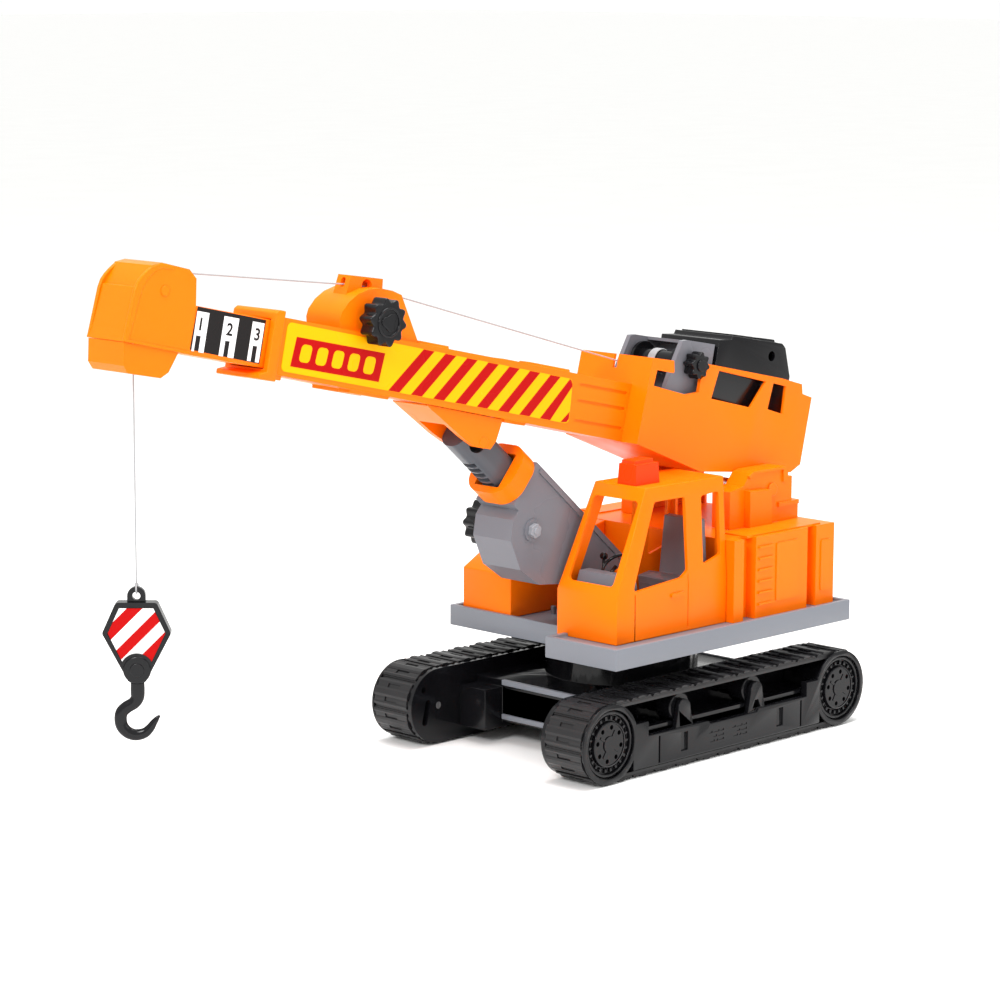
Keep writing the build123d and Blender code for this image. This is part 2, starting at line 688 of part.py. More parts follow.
def boom_half(side):
    """One clam-shell half: the telescopic tube, the rear housing and the pivot lug."""
    tube_high, tube_depth = span(side, 0, boom_half_y)
    bore_high, bore_depth = span(side, 0, inner_half_y + body_gap)
    house_high, house_depth = span(side, 0, housing_half_y)
    cavity_high, cavity_depth = span(side, 0, housing_half_y - 2.2)
    wall_high, wall_depth = span(side, housing_half_y - 3.0, housing_half_y + 1)
    lug_high, lug_depth = span(side, 18.0, housing_half_y)
    shelf_high, shelf_depth = span(side, 0, housing_half_y - 1)
    groove_high, groove_depth = span(side, boom_half_y - 0.9, boom_half_y)
    tab_high, tab_depth = span(side, 6.0, boom_half_y - 1.0)
    with BuildPart() as half:
        with BuildSketch(at_y(boom_plane, house_high)):
            housing_outline()
        extrude(amount=house_depth)
        with BuildSketch(at_y(boom_plane, cavity_high)):
            housing_cavity()
        extrude(amount=cavity_depth, mode=Mode.SUBTRACT)
        with BuildSketch(at_y(boom_plane, shelf_high)):
            with Locations(((housing_rear_s + housing_front_s) / 2, shelf_t - 1.1)):
                Rectangle(housing_front_s - housing_rear_s - 3.0, 2.2)
        extrude(amount=shelf_depth)
        with BuildSketch(at_y(boom_plane, tab_high)):
            for low_s, high_s, middle_t in ((157, 190, boom_top_t), (253.6, 275.2, boom_top_t),
                                            (186, 202.8, 14.2), (292, 321, 15.6), (369.2, 374.5, 15.8)):
                with Locations(((low_s + high_s) / 2, middle_t)):
                    Rectangle(high_s - low_s, 3.0)
        extrude(amount=tab_depth)
        with BuildSketch(at_y(boom_plane, tube_high)):
            Polygon((housing_front_s - 12, 12.9), (boom_front_s, 16.9), (boom_front_s, boom_top_t),
                    (housing_front_s - 12, boom_top_t), align=None)
        extrude(amount=tube_depth)
        with BuildSketch(at_y(boom_plane, bore_high)):
            Polygon((housing_front_s - 10, inner_bottom_t - body_gap),
                    (boom_front_s, inner_bottom_t - body_gap), (boom_front_s, inner_top_t + body_gap),
                    (housing_front_s - 10, inner_top_t + body_gap), align=None)
        extrude(amount=bore_depth, mode=Mode.SUBTRACT)
        with BuildSketch(at_y(boom_plane, groove_high)):
            for t in (20.4, 31.6, 40.6):
                with Locations((128.5, t)):
                    SlotOverall(40.0, 1.7)
        extrude(amount=groove_depth, mode=Mode.SUBTRACT)
        with BuildSketch(at_y(boom_plane, lug_high)):
            Circle(8.6)
            with Locations((0, 6)):
                Rectangle(17.2, 12)
        extrude(amount=lug_depth)
        with BuildSketch(at_y(boom_plane, lug_high)):
            Circle(boom_pin_r + fit_gap)
        extrude(amount=lug_depth, mode=Mode.SUBTRACT)
        with BuildSketch(at_y(boom_plane, wall_high)):
            Polygon((45.8, 62.7), (49.0, 46.0), (12.8, 45.2), (2.6, 61.8), align=None)
            Polygon((-4.8, 61.9), (-2.9, 46.2), (-17.5, 45.0), (-16.5, 61.5), align=None)
            Polygon((99.6, 56.2), (100.6, 47.0), (72.0, 45.4), (61.0, 48.4), (61.0, 58.0), (84.0, 58.0),
                    (85.5, 56.2), align=None)
        extrude(amount=wall_depth, mode=Mode.SUBTRACT)
        with BuildSketch(at_y(boom_plane, 8.0)):
            with Locations((extend_s, boom_top_t)):
                Rectangle(26, 6)
        extrude(amount=16, mode=Mode.SUBTRACT)
        with BuildSketch(at_y(boom_plane, 1.6)):
            with Locations((housing_front_s - 2, 59)):
                Rectangle(12, 9)
        extrude(amount=3.2, mode=Mode.SUBTRACT)
        with BuildSketch(at_y(boom_plane, wall_high)):
            with Locations((winch_s, winch_t)):
                Circle(8.4)
        extrude(amount=wall_depth, mode=Mode.SUBTRACT)
    save(half, f"boom_half_{side_name(side)}")


def boom_collar():
    """Sloped frame that closes the front of the outer boom and guides the inner one."""
    with BuildPart() as collar:
        with BuildSketch(at_y(boom_plane, collar_half_y)):
            Polygon((boom_front_s, 13.2), (collar_front_s, 13.2), (collar_front_s, 15.8), (381.0, 17.5),
                    (381.0, 47.5), (379.0, 49.4), (boom_front_s, 49.4), align=None)
        extrude(amount=2 * collar_half_y)
        with BuildSketch(at_y(boom_plane, inner_half_y + body_gap)):
            Polygon((boom_front_s - 1, inner_bottom_t - body_gap), (collar_front_s + 1, inner_bottom_t - body_gap),
                    (collar_front_s + 1, inner_top_t + body_gap), (boom_front_s - 1, inner_top_t + body_gap),
                    align=None)
        extrude(amount=2 * (inner_half_y + body_gap), mode=Mode.SUBTRACT)
    save(collar, "boom_collar")


def boom_gearbox():
    """Dome over the pinion, with the eyelet block for the hoist line on top."""
    with BuildPart() as gearbox:
        with BuildSketch(at_y(boom_plane, 13.0)):
            Polygon((275.4, boom_top_t + 0.1), (293.0, 69.4), (300.0, 70.6), (309.0, 70.6), (317.0, 68.8),
                    (324.0, 65.2), (329.6, 60.2), (333.2, 54.4), (333.8, 50.4), (332.6, boom_top_t + 0.1),
                    align=None)
        extrude(amount=26.0)
        with BuildSketch(at_y(boom_plane, 11.0)):
            Polygon((279.0, boom_top_t), (295.0, 67.2), (307.4, 67.8), (325.2, 62.2), (331.2, 54.4),
                    (328.8, boom_top_t), align=None)
        extrude(amount=22.0, mode=Mode.SUBTRACT)
        with BuildSketch(at_y(boom_plane, 5.0)):
            Polygon((299.5, 68.8), (308.0, 69.0), (325.0, 63.6), (323.3, 74.7), (311.0, 75.6), (300.5, 76.2),
                    align=None)
            with Locations((eyelet_s, eyelet_t)):
                Circle(3.6, mode=Mode.SUBTRACT)
        extrude(amount=10.0)
        with BuildSketch(at_y(boom_plane, 14.0)):
            with Locations((extend_s, extend_t)):
                Circle(boom_pin_r + fit_gap)
        extrude(amount=28, mode=Mode.SUBTRACT)
        guide = Plane(origin=boom_plane.from_local_coords(Vector(280, eyelet_t, 0)),
                      x_dir=(0, 1, 0), z_dir=boom_plane.x_dir)
        with BuildSketch(guide):
            SlotOverall(5.2, 3.2, rotation=90)
        extrude(amount=60, mode=Mode.SUBTRACT)
    save(gearbox, "boom_gearbox")


def gear_outline(teeth, module):
    """Straight-flanked toothed wheel with backlash, as moulded toy gears have."""
    root_r = module * teeth / 2 - 1.25 * module
    tip_r = module * teeth / 2 + 0.75 * module
    root_w = 0.56 * pi * module
    tip_w = 0.22 * pi * module
    Circle(root_r)
    for i in range(teeth):
        with Locations(Location((0, 0, 0), (0, 0, 360 * i / teeth))):
            Polygon((root_r - 0.6, -root_w / 2), (tip_r, -tip_w / 2), (tip_r, tip_w / 2),
                    (root_r - 0.6, root_w / 2), align=None)


def rack_grooves(first, count, pitch, up):
    """Grooves of a rack; the tooth spaces are centred on first plus whole pitches."""
    for i in range(count):
        with Locations((first + i * pitch, 0)):
            Polygon((-0.40 * pitch, up * 1.7), (-0.19 * pitch, -up * 2.3), (0.19 * pitch, -up * 2.3),
                    (0.40 * pitch, up * 1.7), align=None)


def extend_pinion():
    """Shaft with the pinion that drives the inner boom."""
    with BuildPart() as pinion:
        with BuildSketch(at_y(boom_plane, 4.0)):
            with Locations(Location((extend_s, extend_t, 0), (0, 0, -90))):
                gear_outline(extend_teeth, gear_module)
        extrude(amount=8.0)
        with BuildSketch(at_y(boom_plane, 24.0)):
            with Locations((extend_s, extend_t)):
                Circle(boom_pin_r)
        extrude(amount=40.0)
    save(pinion, "extend_pinion")


def star_knob(plane, s, t, inner_y, outer_y, shaft_r):
    """Ten-lobed hand knob with a blind socket and three slots round its hub."""
    side = 1 if outer_y > 0 else -1
    high, depth = span(side, abs(inner_y), abs(outer_y))
    socket_high, socket_depth = span(side, abs(inner_y), abs(outer_y) - 4.0)
    face_high, face_depth = span(side, abs(outer_y) - 1.6, abs(outer_y))
    with BuildPart() as knob:
        with BuildSketch(at_y(plane, high)):
            with Locations((s, t)):
                Circle(10.5)
                with PolarLocations(10.2, 10):
                    Circle(2.8)
        extrude(amount=depth)
        with BuildSketch(at_y(plane, face_high)):
            with Locations((s, t)):
                Circle(6.4)
                Circle(5.8, mode=Mode.SUBTRACT)
                with PolarLocations(4.4, 3, start_angle=50):
                    RectangleRounded(2.2, 4.4, 0.8)
        extrude(amount=face_depth, mode=Mode.SUBTRACT)
        with BuildSketch(at_y(plane, socket_high)):
            with Locations((s, t)):
                Circle(shaft_r)
        extrude(amount=socket_depth, mode=Mode.SUBTRACT)
    return knob


def inner_boom():
    """Telescopic section: a hollow box with a rack along the middle of its top."""
    pitch = pi * gear_module
    first = extend_s - pitch * 22
    with BuildPart() as section:
        with BuildSketch(at_y(boom_plane, inner_half_y)):
            with Locations(((inner_rear_s + inner_front_s) / 2, (inner_bottom_t + inner_top_t) / 2)):
                Rectangle(inner_front_s - inner_rear_s, inner_top_t - inner_bottom_t)
        extrude(amount=2 * inner_half_y)
        with BuildSketch(at_y(boom_plane, inner_half_y - wall)):
            with Locations(((inner_rear_s + inner_front_s) / 2, (inner_bottom_t + inner_top_t) / 2 - 1.4)):
                Rectangle(inner_front_s - inner_rear_s, inner_top_t - inner_bottom_t - 2 * wall - 2.8)
        extrude(amount=2 * (inner_half_y - wall), mode=Mode.SUBTRACT)
        with BuildSketch(at_y(boom_plane, 4.6)):
            with Locations((0, rack_pitch_t)):
                rack_grooves(first, 36, pitch, 1)
        extrude(amount=9.2, mode=Mode.SUBTRACT)
        with BuildSketch(at_y(boom_plane, 2.5)):
            with Locations((inner_front_s - 4, inner_bottom_t + 1)):
                Rectangle(10, 4)
        extrude(amount=5.0, mode=Mode.SUBTRACT)
    save(section, "inner_boom")


# ---- boom head -----------------------------------------------------------------------
def head_outline(inset):
    Polygon((432.0 + inset, 20.0), (432.4 + inset, 44.0), (434.7 + inset, 56.8 - inset * 0.3),
            (440.0 + inset * 0.4, 60.6 - inset), (457.9 - inset * 0.2, 61.2 - inset),
            (463.9 - inset * 0.7, 58.9 - inset * 0.7), (470.2 - inset, 46.5), (474.0 - inset, 20.0), align=None)


def head_shell():
    """Upper part of the head, pushed over the end of the inner boom."""
    with BuildPart() as shell:
        with BuildSketch(at_y(boom_plane, head_half_y)):
            head_outline(0)
        extrude(amount=2 * head_half_y)
        with BuildSketch(at_y(boom_plane, head_half_y - wall)):
            head_outline(wall)
            with Locations((452, 19)):
                Rectangle(40, 6)
        extrude(amount=2 * (head_half_y - wall), mode=Mode.SUBTRACT)
        with BuildSketch(at_y(boom_plane, inner_half_y)):
            with Locations((435, (20 + inner_top_t) / 2)):
                Rectangle(12, inner_top_t - 20)
        extrude(amount=2 * inner_half_y, mode=Mode.SUBTRACT)
        with BuildSketch(at_y(boom_plane, 2.0)):
            with Locations((434, 57)):
                Rectangle(12, 12)
            with Locations((446, 55.3)):
                Rectangle(18, 8.6)
        extrude(amount=4.0, mode=Mode.SUBTRACT)
        with BuildSketch(at_y(boom_plane, head_half_y)):
            with Locations((sheave_s, sheave_t)):
                Circle(2.02)
        extrude(amount=2 * head_half_y, mode=Mode.SUBTRACT)
    save(shell, "head_shell")


def head_lower():
    """Lower cover of the head, open where the hoist line leaves it."""
    with BuildPart() as cover:
        with BuildSketch(at_y(boom_plane, head_half_y - 0.6)):
            Polygon((438.6, 19.0), (442.7, 9.0), (447.2, 5.5), (468.0, 5.2), (471.5, 8.5), (473.4, 19.8),
                    (438.6, 19.8), align=None)
        extrude(amount=2 * (head_half_y - 0.6))
        with BuildSketch(at_y(boom_plane, head_half_y - 0.6 - wall)):
            Polygon((440.8, 19.9), (444.4, 10.2), (447.8, 7.5), (467.2, 7.2), (469.6, 9.4), (471.3, 19.9),
                    align=None)
        extrude(amount=2 * (head_half_y - 0.6 - wall), mode=Mode.SUBTRACT)
        with BuildSketch(at_y(boom_plane, 2.5)):
            with Locations((447, 10)):
                Rectangle(26, 22)
        extrude(amount=5.0, mode=Mode.SUBTRACT)
    save(cover, "head_lower")


def sheave_pin():
    with BuildPart() as pin:
        with BuildSketch(at_y(boom_plane, head_half_y)):
            with Locations((sheave_s, sheave_t)):
                Circle(2.0)
        extrude(amount=2 * head_half_y)
    save(pin, "sheave_pin")


def head_sheave():
    """Grooved wheel that turns the hoist line downwards."""
    with BuildPart() as sheave:
        for low, high, radius in ((-4.0, -2.0, 10.6), (-2.5, 2.5, sheave_r - cord_r - 0.1), (2.0, 4.0, 10.6)):
            with BuildSketch(at_y(boom_plane, high)):
                with Locations((sheave_s, sheave_t)):
                    Circle(radius)
            extrude(amount=high - low)
        with BuildSketch(at_y(boom_plane, 5.0)):
            with Locations((sheave_s, sheave_t)):
                Circle(2.0 + fit_gap)
                with PolarLocations(6.0, 5):
                    Circle(1.4)
        extrude(amount=10.0, mode=Mode.SUBTRACT)
    save(sheave, "head_sheave")


# ---- winch ---------------------------------------------------------------------------
def winch_frame():
    """Bracket with two cheeks that hold the drum shaft."""
    with BuildPart() as frame:
        with BuildSketch(at_y(boom_plane, 25.0)):
            Polygon((46.0, shelf_t + 0.1), (94.6, shelf_t + 0.1), (94.6, 46.2), (46.0, 46.2), align=None)
        extrude(amount=50.0)
        for side in (1, -1):
            high, depth = span(side, 18.5, 21.5)
            with BuildSketch(at_y(boom_plane, high)):
                Polygon((46.4, 46.0), (84.0, 46.0), (81.0, 57.0), (74.8, 75.6), (71.0, 76.6), (46.4, 77.4),
                        align=None)
                with Locations((winch_s, winch_t)):
                    Circle(3.0 + fit_gap, mode=Mode.SUBTRACT)
            extrude(amount=depth)
        with BuildSketch(at_y(boom_plane, 19.0)):
            Polygon((46.4, 46.0), (48.6, 46.0), (48.6, 75.2), (60.0, 75.2), (60.0, 77.0), (46.4, 77.4),
                    align=None)
        extrude(amount=38.0)
    save(frame, "winch_frame")


def winch_drum():
    """Spool with its shaft; the line leaves from the underside."""
    with BuildPart() as drum:
        for low, high, radius in ((-16.0, -14.0, 10.5), (-14.5, 14.5, drum_r - cord_r - 0.1), (14.0, 16.0, 10.5),
                                  (-21.9, 26.0, 3.0)):
            with BuildSketch(at_y(boom_plane, high)):
                with Locations((winch_s, winch_t)):
                    Circle(radius)
            extrude(amount=high - low)
    save(drum, "winch_drum")


def winch_knob():
    """Ribbed hand knob on the drum shaft, beside the housing's cut-out."""
    with BuildPart() as knob:
        with BuildSketch(at_y(boom_plane, 34.0)):
            with Locations((winch_s, winch_t)):
                Circle(6.8)
                with PolarLocations(6.8, 14):
                    Circle(0.7)
        extrude(amount=11.8)
        with BuildSketch(at_y(boom_plane, 26.0)):
            with Locations((winch_s, winch_t)):
                Circle(3.0)
        extrude(amount=4.0, mode=Mode.SUBTRACT)
    save(knob, "winch_knob")


def winch_cover():
    """Black hood behind the winch, ribbed at the rear and pierced near its top."""
    with BuildPart() as cover:
        with BuildSketch(at_y(boom_plane, 22.5)) as hood:
            Polygon((44.0, shelf_t + 0.1), (44.0, 80.5), (33.5, 82.0), (32.5, 84.6), (-13.5, 86.2),
                    (-17.0, 84.0), (-25.0, 68.0), (-25.0, shelf_t + 0.1), align=None)
        extrude(amount=45.0)
        with BuildSketch(at_y(boom_plane, 20.3)):
            Polygon((41.8, shelf_t), (41.8, 78.5), (31.5, 80.2), (30.5, 82.4), (-12.5, 84.0),
                    (-15.2, 82.6), (-22.8, 67.4), (-22.8, shelf_t), align=None)
        extrude(amount=40.6, mode=Mode.SUBTRACT)
        with BuildSketch(at_y(boom_plane, 20.5)):
            for s, t in ((-22.6, 71.5), (-19.6, 77.5), (-16.4, 82.6)):
                with Locations((s, t)):
                    Circle(1.4)
            Polygon((-9.0, 85.0), (2.0, 84.4), (3.0, 87.0), (-8.0, 87.6), align=None)
            Polygon((12.0, 84.0), (28.0, 83.4), (28.6, 85.6), (12.6, 86.4), align=None)
        extrude(amount=41.0)
        with BuildSketch(at_y(boom_plane, 23.0)):
            with Locations((-5.0, 77.5)):
                Circle(3.0)
        extrude(amount=46.0, mode=Mode.SUBTRACT)
    save(cover, "winch_cover")


# ---- luffing ram ---------------------------------------------------------------------
def ram_half(side):
    """One half of the ram body: the tube for the rod and the pinion housing below it."""
    full_high, full_depth = span(side, 0, ram_half_y)
    bore_high, bore_depth = span(side, 0, 9.2)
    gear_high, gear_depth = span(side, 0, 10.5)
    boss_high, boss_depth = span(side, ram_half_y - 0.5, ram_half_y + 1.0)
    with BuildPart() as half:
        with BuildSketch(at_y(ram_plane, full_high)):
            Polygon((-7.5, -4.0), (-4.0, -7.5), (30.0, -13.5), (56.0, -25.0), (72.0, -36.0), (90.0, -38.0),
                    (107.0, -30.0), (113.0, -20.0), (113.0, -13.5), (118.5, -13.5), (118.5, 15.0),
                    (10.0, 15.0), (-7.5, 4.0), align=None)
        extrude(amount=full_depth)
        with BuildSketch(at_y(ram_plane, bore_high)):
            with Locations(((14 + 119) / 2, 0.55)):
                Rectangle(119 - 14, 21.9)
        extrude(amount=bore_depth, mode=Mode.SUBTRACT)
        with BuildSketch(at_y(ram_plane, gear_high)):
            Polygon((62.0, -22.0), (75.0, -32.5), (90.0, -35.0), (104.5, -28.0), (110.0, -19.0),
                    (110.0, -8.0), (62.0, -8.0), align=None)
        extrude(amount=gear_depth, mode=Mode.SUBTRACT)
        with BuildSketch(at_y(ram_plane, boss_high)):
            with Locations((luff_a, luff_b)):
                Circle(6.4)
            with Locations((70.0, 12.4)):
                Rectangle(88.0, 2.2)
        extrude(amount=boss_depth)
        with BuildSketch(at_y(ram_plane, 20)):
            Circle(2.5 + fit_gap)
            with Locations((luff_a, luff_b)):
                Circle(boom_pin_r + fit_gap)
        extrude(amount=40, mode=Mode.SUBTRACT)
    save(half, f"ram_half_{side_name(side)}")


def ram_collar():
    """Ring that holds the two ram halves together at the rod's mouth."""
    mouth = Plane(origin=ram_plane.from_local_coords(Vector(118.6, 0, 0)), x_dir=(0, 1, 0),
                  z_dir=ram_plane.x_dir)
    with BuildPart() as collar:
        with BuildSketch(mouth):
            with Locations((0, 1.4)):
                RectangleRounded(32.6, 32.0, 12)
            with Locations((0, 0.55)):
                RectangleRounded(18.4, 21.9, 0.8, mode=Mode.SUBTRACT)
        extrude(amount=11.4)
    save(collar, "ram_collar")


def ram_rod():
    """Rack rod: rounded on top, toothed underneath, with a wide eye at its upper end."""
    pitch = pi * gear_module
    mouth = Plane(origin=ram_plane.from_local_coords(Vector(24.0, 0, 0)), x_dir=(0, 1, 0),
                  z_dir=ram_plane.x_dir)
    first = luff_a - pitch * 15
    with BuildPart() as rod:
        with BuildSketch(mouth) as section:
            with Locations((0, 0.55)):
                Rectangle(2 * 8.7, 21.1)
            fillet(section.vertices().group_by(Axis.Z)[-1], 7.5)
        extrude(amount=rod_pin_a + 9.0 - 24.0)
        with BuildSketch(at_y(ram_plane, 5.2)):
            with Locations((0, luff_rack_b)):
                rack_grooves(first, 27, pitch, -1)
        extrude(amount=10.4, mode=Mode.SUBTRACT)
        with BuildSketch(at_y(ram_plane, 9.0)):
            with Locations((rod_pin_a, 0)):
                Circle(6.2)
            Polygon((rod_pin_a - 4, 12.6), (rod_pin_a + 12, 4.1), (rod_pin_a + 12, 12.6), align=None)
        extrude(amount=18.0, mode=Mode.SUBTRACT)
    save(rod, "ram_rod")


def luff_pinion():
    with BuildPart() as pinion:
        with BuildSketch(at_y(ram_plane, 4.6)):
            with Locations(Location((luff_a, luff_b, 0), (0, 0, 90))):
                gear_outline(luff_teeth, gear_module)
        extrude(amount=9.2)
        with BuildSketch(at_y(ram_plane, 17.6)):
            with Locations((luff_a, luff_b)):
                Circle(boom_pin_r)
        extrude(amount=41.6)
    save(pinion, "luff_pinion")


def rod_bracket():
    """Two ears under the boom that hold the pin at the rod's upper end."""
    with BuildPart() as bracket:
        for side in (1, -1):
            high, depth = span(side, 9.6, 13.2)
            with BuildSketch(at_y(boom_plane, high)):
                Polygon((203.0, 14.0), (205.5, 2.0), (209.0, -3.0), (221.0, -3.0), (232.0, 1.0),
                        (262.0, 14.4), align=None)
                with Locations((rod_pin_s, 0)):
                    Circle(2.22, mode=Mode.SUBTRACT)
            extrude(amount=depth)
        with BuildSketch(at_y(boom_plane, 13.2)):
            Polygon((243.5, 6.2), (262.0, 14.4), (262.0, 15.0), (203.2, 14.0), (203.4, 12.2),
                    (244.0, 13.0), align=None)
        extrude(amount=26.4)
    save(bracket, "rod_bracket")


def rod_pin():
    with BuildPart() as pin:
        with BuildSketch(at_y(boom_plane, 13.2)):
            with Locations((rod_pin_s, 0)):
                Circle(2.2)
        extrude(amount=26.4)
    save(pin, "rod_pin")


# ---- labels --------------------------------------------------------------------------
def stripe_labels():
    """Adhesive panels on both flanks of the outer boom."""
    with BuildPart() as labels:
        for side in (1, -1):
            high, depth = span(side, boom_half_y + 0.02, boom_half_y + 0.27)
            with BuildSketch(at_y(boom_plane, high)) as panel:
                Polygon((155.0, 42.7), (371.5, 44.4), (371.5, 19.2), (152.8, 17.9), align=None)
                fillet(panel.vertices(), 3.0)
            extrude(amount=depth)
    save(labels, "stripe_labels")


def number_labels():
    """Adhesive panels with the three reach marks, on the inner boom's flanks."""
    with BuildPart() as labels:
        for side in (1, -1):
            high, depth = span(side, inner_half_y, inner_half_y + 0.15)
            with BuildSketch(at_y(boom_plane, high)):
                Polygon((383.5, 43.2), (429.4, 43.6), (430.4, 21.9), (383.6, 20.9), align=None)
            extrude(amount=depth)
    save(labels, "number_labels")


# ---- hook block ----------------------------------------------------------------------
face = 45.0                 # the block's broad side looks half left, half forward
block_plane = Plane(origin=(hook_x, 0, 0), x_dir=(-cos(radians(face)), sin(radians(face)), 0),
                    z_dir=(sin(radians(face)), cos(radians(face)), 0))


def block_outline(inset):
    Polygon((-10.2 + inset * 0.6, block_top_z - inset), (10.2 - inset * 0.6, block_top_z - inset),
            (17.2 - inset, block_wide_z), (4.2 - inset * 0.2, block_bottom_z + inset),
            (-4.2 + inset * 0.2, block_bottom_z + inset), (-17.2 + inset, block_wide_z), align=None)


def hook_block():
    """Shield-shaped weight with a ring for the line and a socket for the hook."""
    with BuildPart() as block:
        with BuildSketch(block_plane.offset(-block_half_depth)) as outline:
            block_outline(0)
            fillet(outline.vertices(), 2.0)
        extrude(amount=2 * block_half_depth)
        for face_side in (1, -1):
            start = block_half_depth - 0.9 if face_side > 0 else -block_half_depth
            with BuildSketch(block_plane.offset(start)):
                block_outline(2.6)
                with Locations((0, 92.5)):
                    Circle(8.4, mode=Mode.SUBTRACT)
            extrude(amount=0.9, mode=Mode.SUBTRACT)
        with BuildSketch(block_plane.offset(-1.5)):
            with Locations((0, ring_z)):
                Circle(4.6)
            with Locations((0, ring_z - 2.5)):
                Rectangle(9.2, 5)
            with Locations((0, ring_z)):
                Circle(2.0, mode=Mode.SUBTRACT)
        extrude(amount=3.0)
        with BuildSketch(Plane(origin=(hook_x, 0, block_bottom_z - 1), x_dir=(1, 0, 0), z_dir=(0, 0, 1))):
            Circle(2.1 + fit_gap)
        extrude(amount=9.0, mode=Mode.SUBTRACT)
    save(block, "hook_block")


def block_labels():
    """Striped panels in the recesses of the block's two broad sides."""
    with BuildPart() as labels:
        for start in (block_half_depth - 0.85, -block_half_depth + 0.6):
            with BuildSketch(block_plane.offset(start)):
                block_outline(2.9)
                with Locations((0, 92.5)):
                    Circle(8.7, mode=Mode.SUBTRACT)
                with Locations((0, block_bottom_z)):
                    Rectangle(30, 12, mode=Mode.SUBTRACT)
            extrude(amount=0.25)
    save(labels, "block_labels")


def crane_hook():
    """Round-section hook on a shank that turns in the block."""
    with BuildPart() as hook:
        with BuildSketch(Plane(origin=(hook_x, 0, 76.0), x_dir=(1, 0, 0), z_dir=(0, 0, 1))):
            Circle(3.5)
        extrude(amount=block_bottom_z - 0.3 - 76.0)
        with BuildSketch(Plane(origin=(hook_x, 0, 84.0), x_dir=(1, 0, 0), z_dir=(0, 0, 1))):
            Circle(2.1)
        extrude(amount=9.0)
        with BuildSketch(block_plane.offset(-2.3)):
            with Locations((-0.6, hook_eye_z - 1.0)):
                Circle(11.4)
            with Locations((0, 79.0)):
                Rectangle(5.6, 6.0)
            with Locations((0.4, hook_eye_z - 0.2)):
                Circle(5.4, mode=Mode.SUBTRACT)
            Polygon((0.4, hook_eye_z), (25, 71.5), (25, 95), (3.2, 82.0), align=None, mode=Mode.SUBTRACT)
        extrude(amount=4.6)
    save(hook, "crane_hook")


# ---- hoist line ----------------------------------------------------------------------
def cord_piece(points, label):
    """A straight round cord from point to point, in boom coordinates."""
    ends = [boom_plane.from_local_coords(Vector(s, t, 0)) for s, t in points]
    with BuildPart() as cord:
        with BuildLine() as path:
            Polyline(*ends)
        with BuildSketch(Plane(origin=path.line @ 0, z_dir=path.line % 0)):
            Circle(cord_r)
        sweep(transition=Transition.RIGHT)
    save(cord, label)


def hoist_lines():
    winch_point = (winch_s + 0.5, winch_t - drum_r)
    head_point = (sheave_s - 0.1 + sheave_r * sin(top_slope), sheave_t + sheave_r * cos(top_slope))
    cord_piece([winch_point, (eyelet_s - 0.1, eyelet_t)], "hoist_line_rear")
    cord_piece([(eyelet_s + 0.1, eyelet_t), head_point], "hoist_line_front")
    with BuildPart() as wrap:
        with BuildLine(side_plane(sheave_x, sheave_z)) as path:
            CenterArc((0, 0), sheave_r, 0, 90 + boom_rest_angle - degrees(top_slope))
        with BuildSketch(Plane(origin=path.line @ 0, z_dir=path.line % 0)):
            Circle(cord_r)
        sweep()
    save(wrap, "hoist_line_wrap")
    with BuildPart() as drop:
        with BuildSketch(Plane.XY.offset(block_ring_top_z)):
            with Locations((hook_x, 0)):
                Circle(cord_r)
        extrude(amount=sheave_z - 0.1 - block_ring_top_z)
    save(drop, "hoist_line_drop")


# ---- build ---------------------------------------------------------------------------
os.makedirs("parts", exist_ok=True)

for side in (1, -1):
    track_belt(side)
    track_frame(side)
    side_plate(side)
    for end in (1, -1):
        track_wheel(side, end)
    for index in (0, 1):
        return_roller(side, index)
    support_tower(side)
    boom_half(side)
    ram_half(side)
wheel_axles()
centre_chassis()
slew_retainer()
deck()
screws()
ram_pin()
cab_shell()
cab_interior()
roof_box()
engine_housing()
right_side_box()
boom_pin()
boom_collar()
boom_gearbox()
extend_pinion()
save(star_knob(boom_plane, extend_s, extend_t, 17.6, 28.0, boom_pin_r), "extend_knob")
inner_boom()
head_shell()
head_lower()
sheave_pin()
head_sheave()
winch_frame()
winch_drum()
winch_knob()
winch_cover()
ram_collar()
ram_rod()
luff_pinion()
save(star_knob(ram_plane, luff_a, luff_b, -17.6, -28.0, boom_pin_r), "luff_knob")
rod_bracket()
rod_pin()
stripe_labels()
number_labels()
hook_block()
block_labels()
crane_hook()
hoist_lines()

print("ram angle", round(degrees(ram_angle), 3), "rod pin at", round(rod_pin_a, 3))
print("sheave", round(sheave_x, 3), round(sheave_z, 3), "hook line x", round(hook_x, 3))
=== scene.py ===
"""Finish, labels, lights and camera for the toy crawler crane."""
import json
from math import asin, atan2, cos, hypot, pi, radians, sin, tau

import bmesh
import bpy
from mathutils import Matrix, Vector


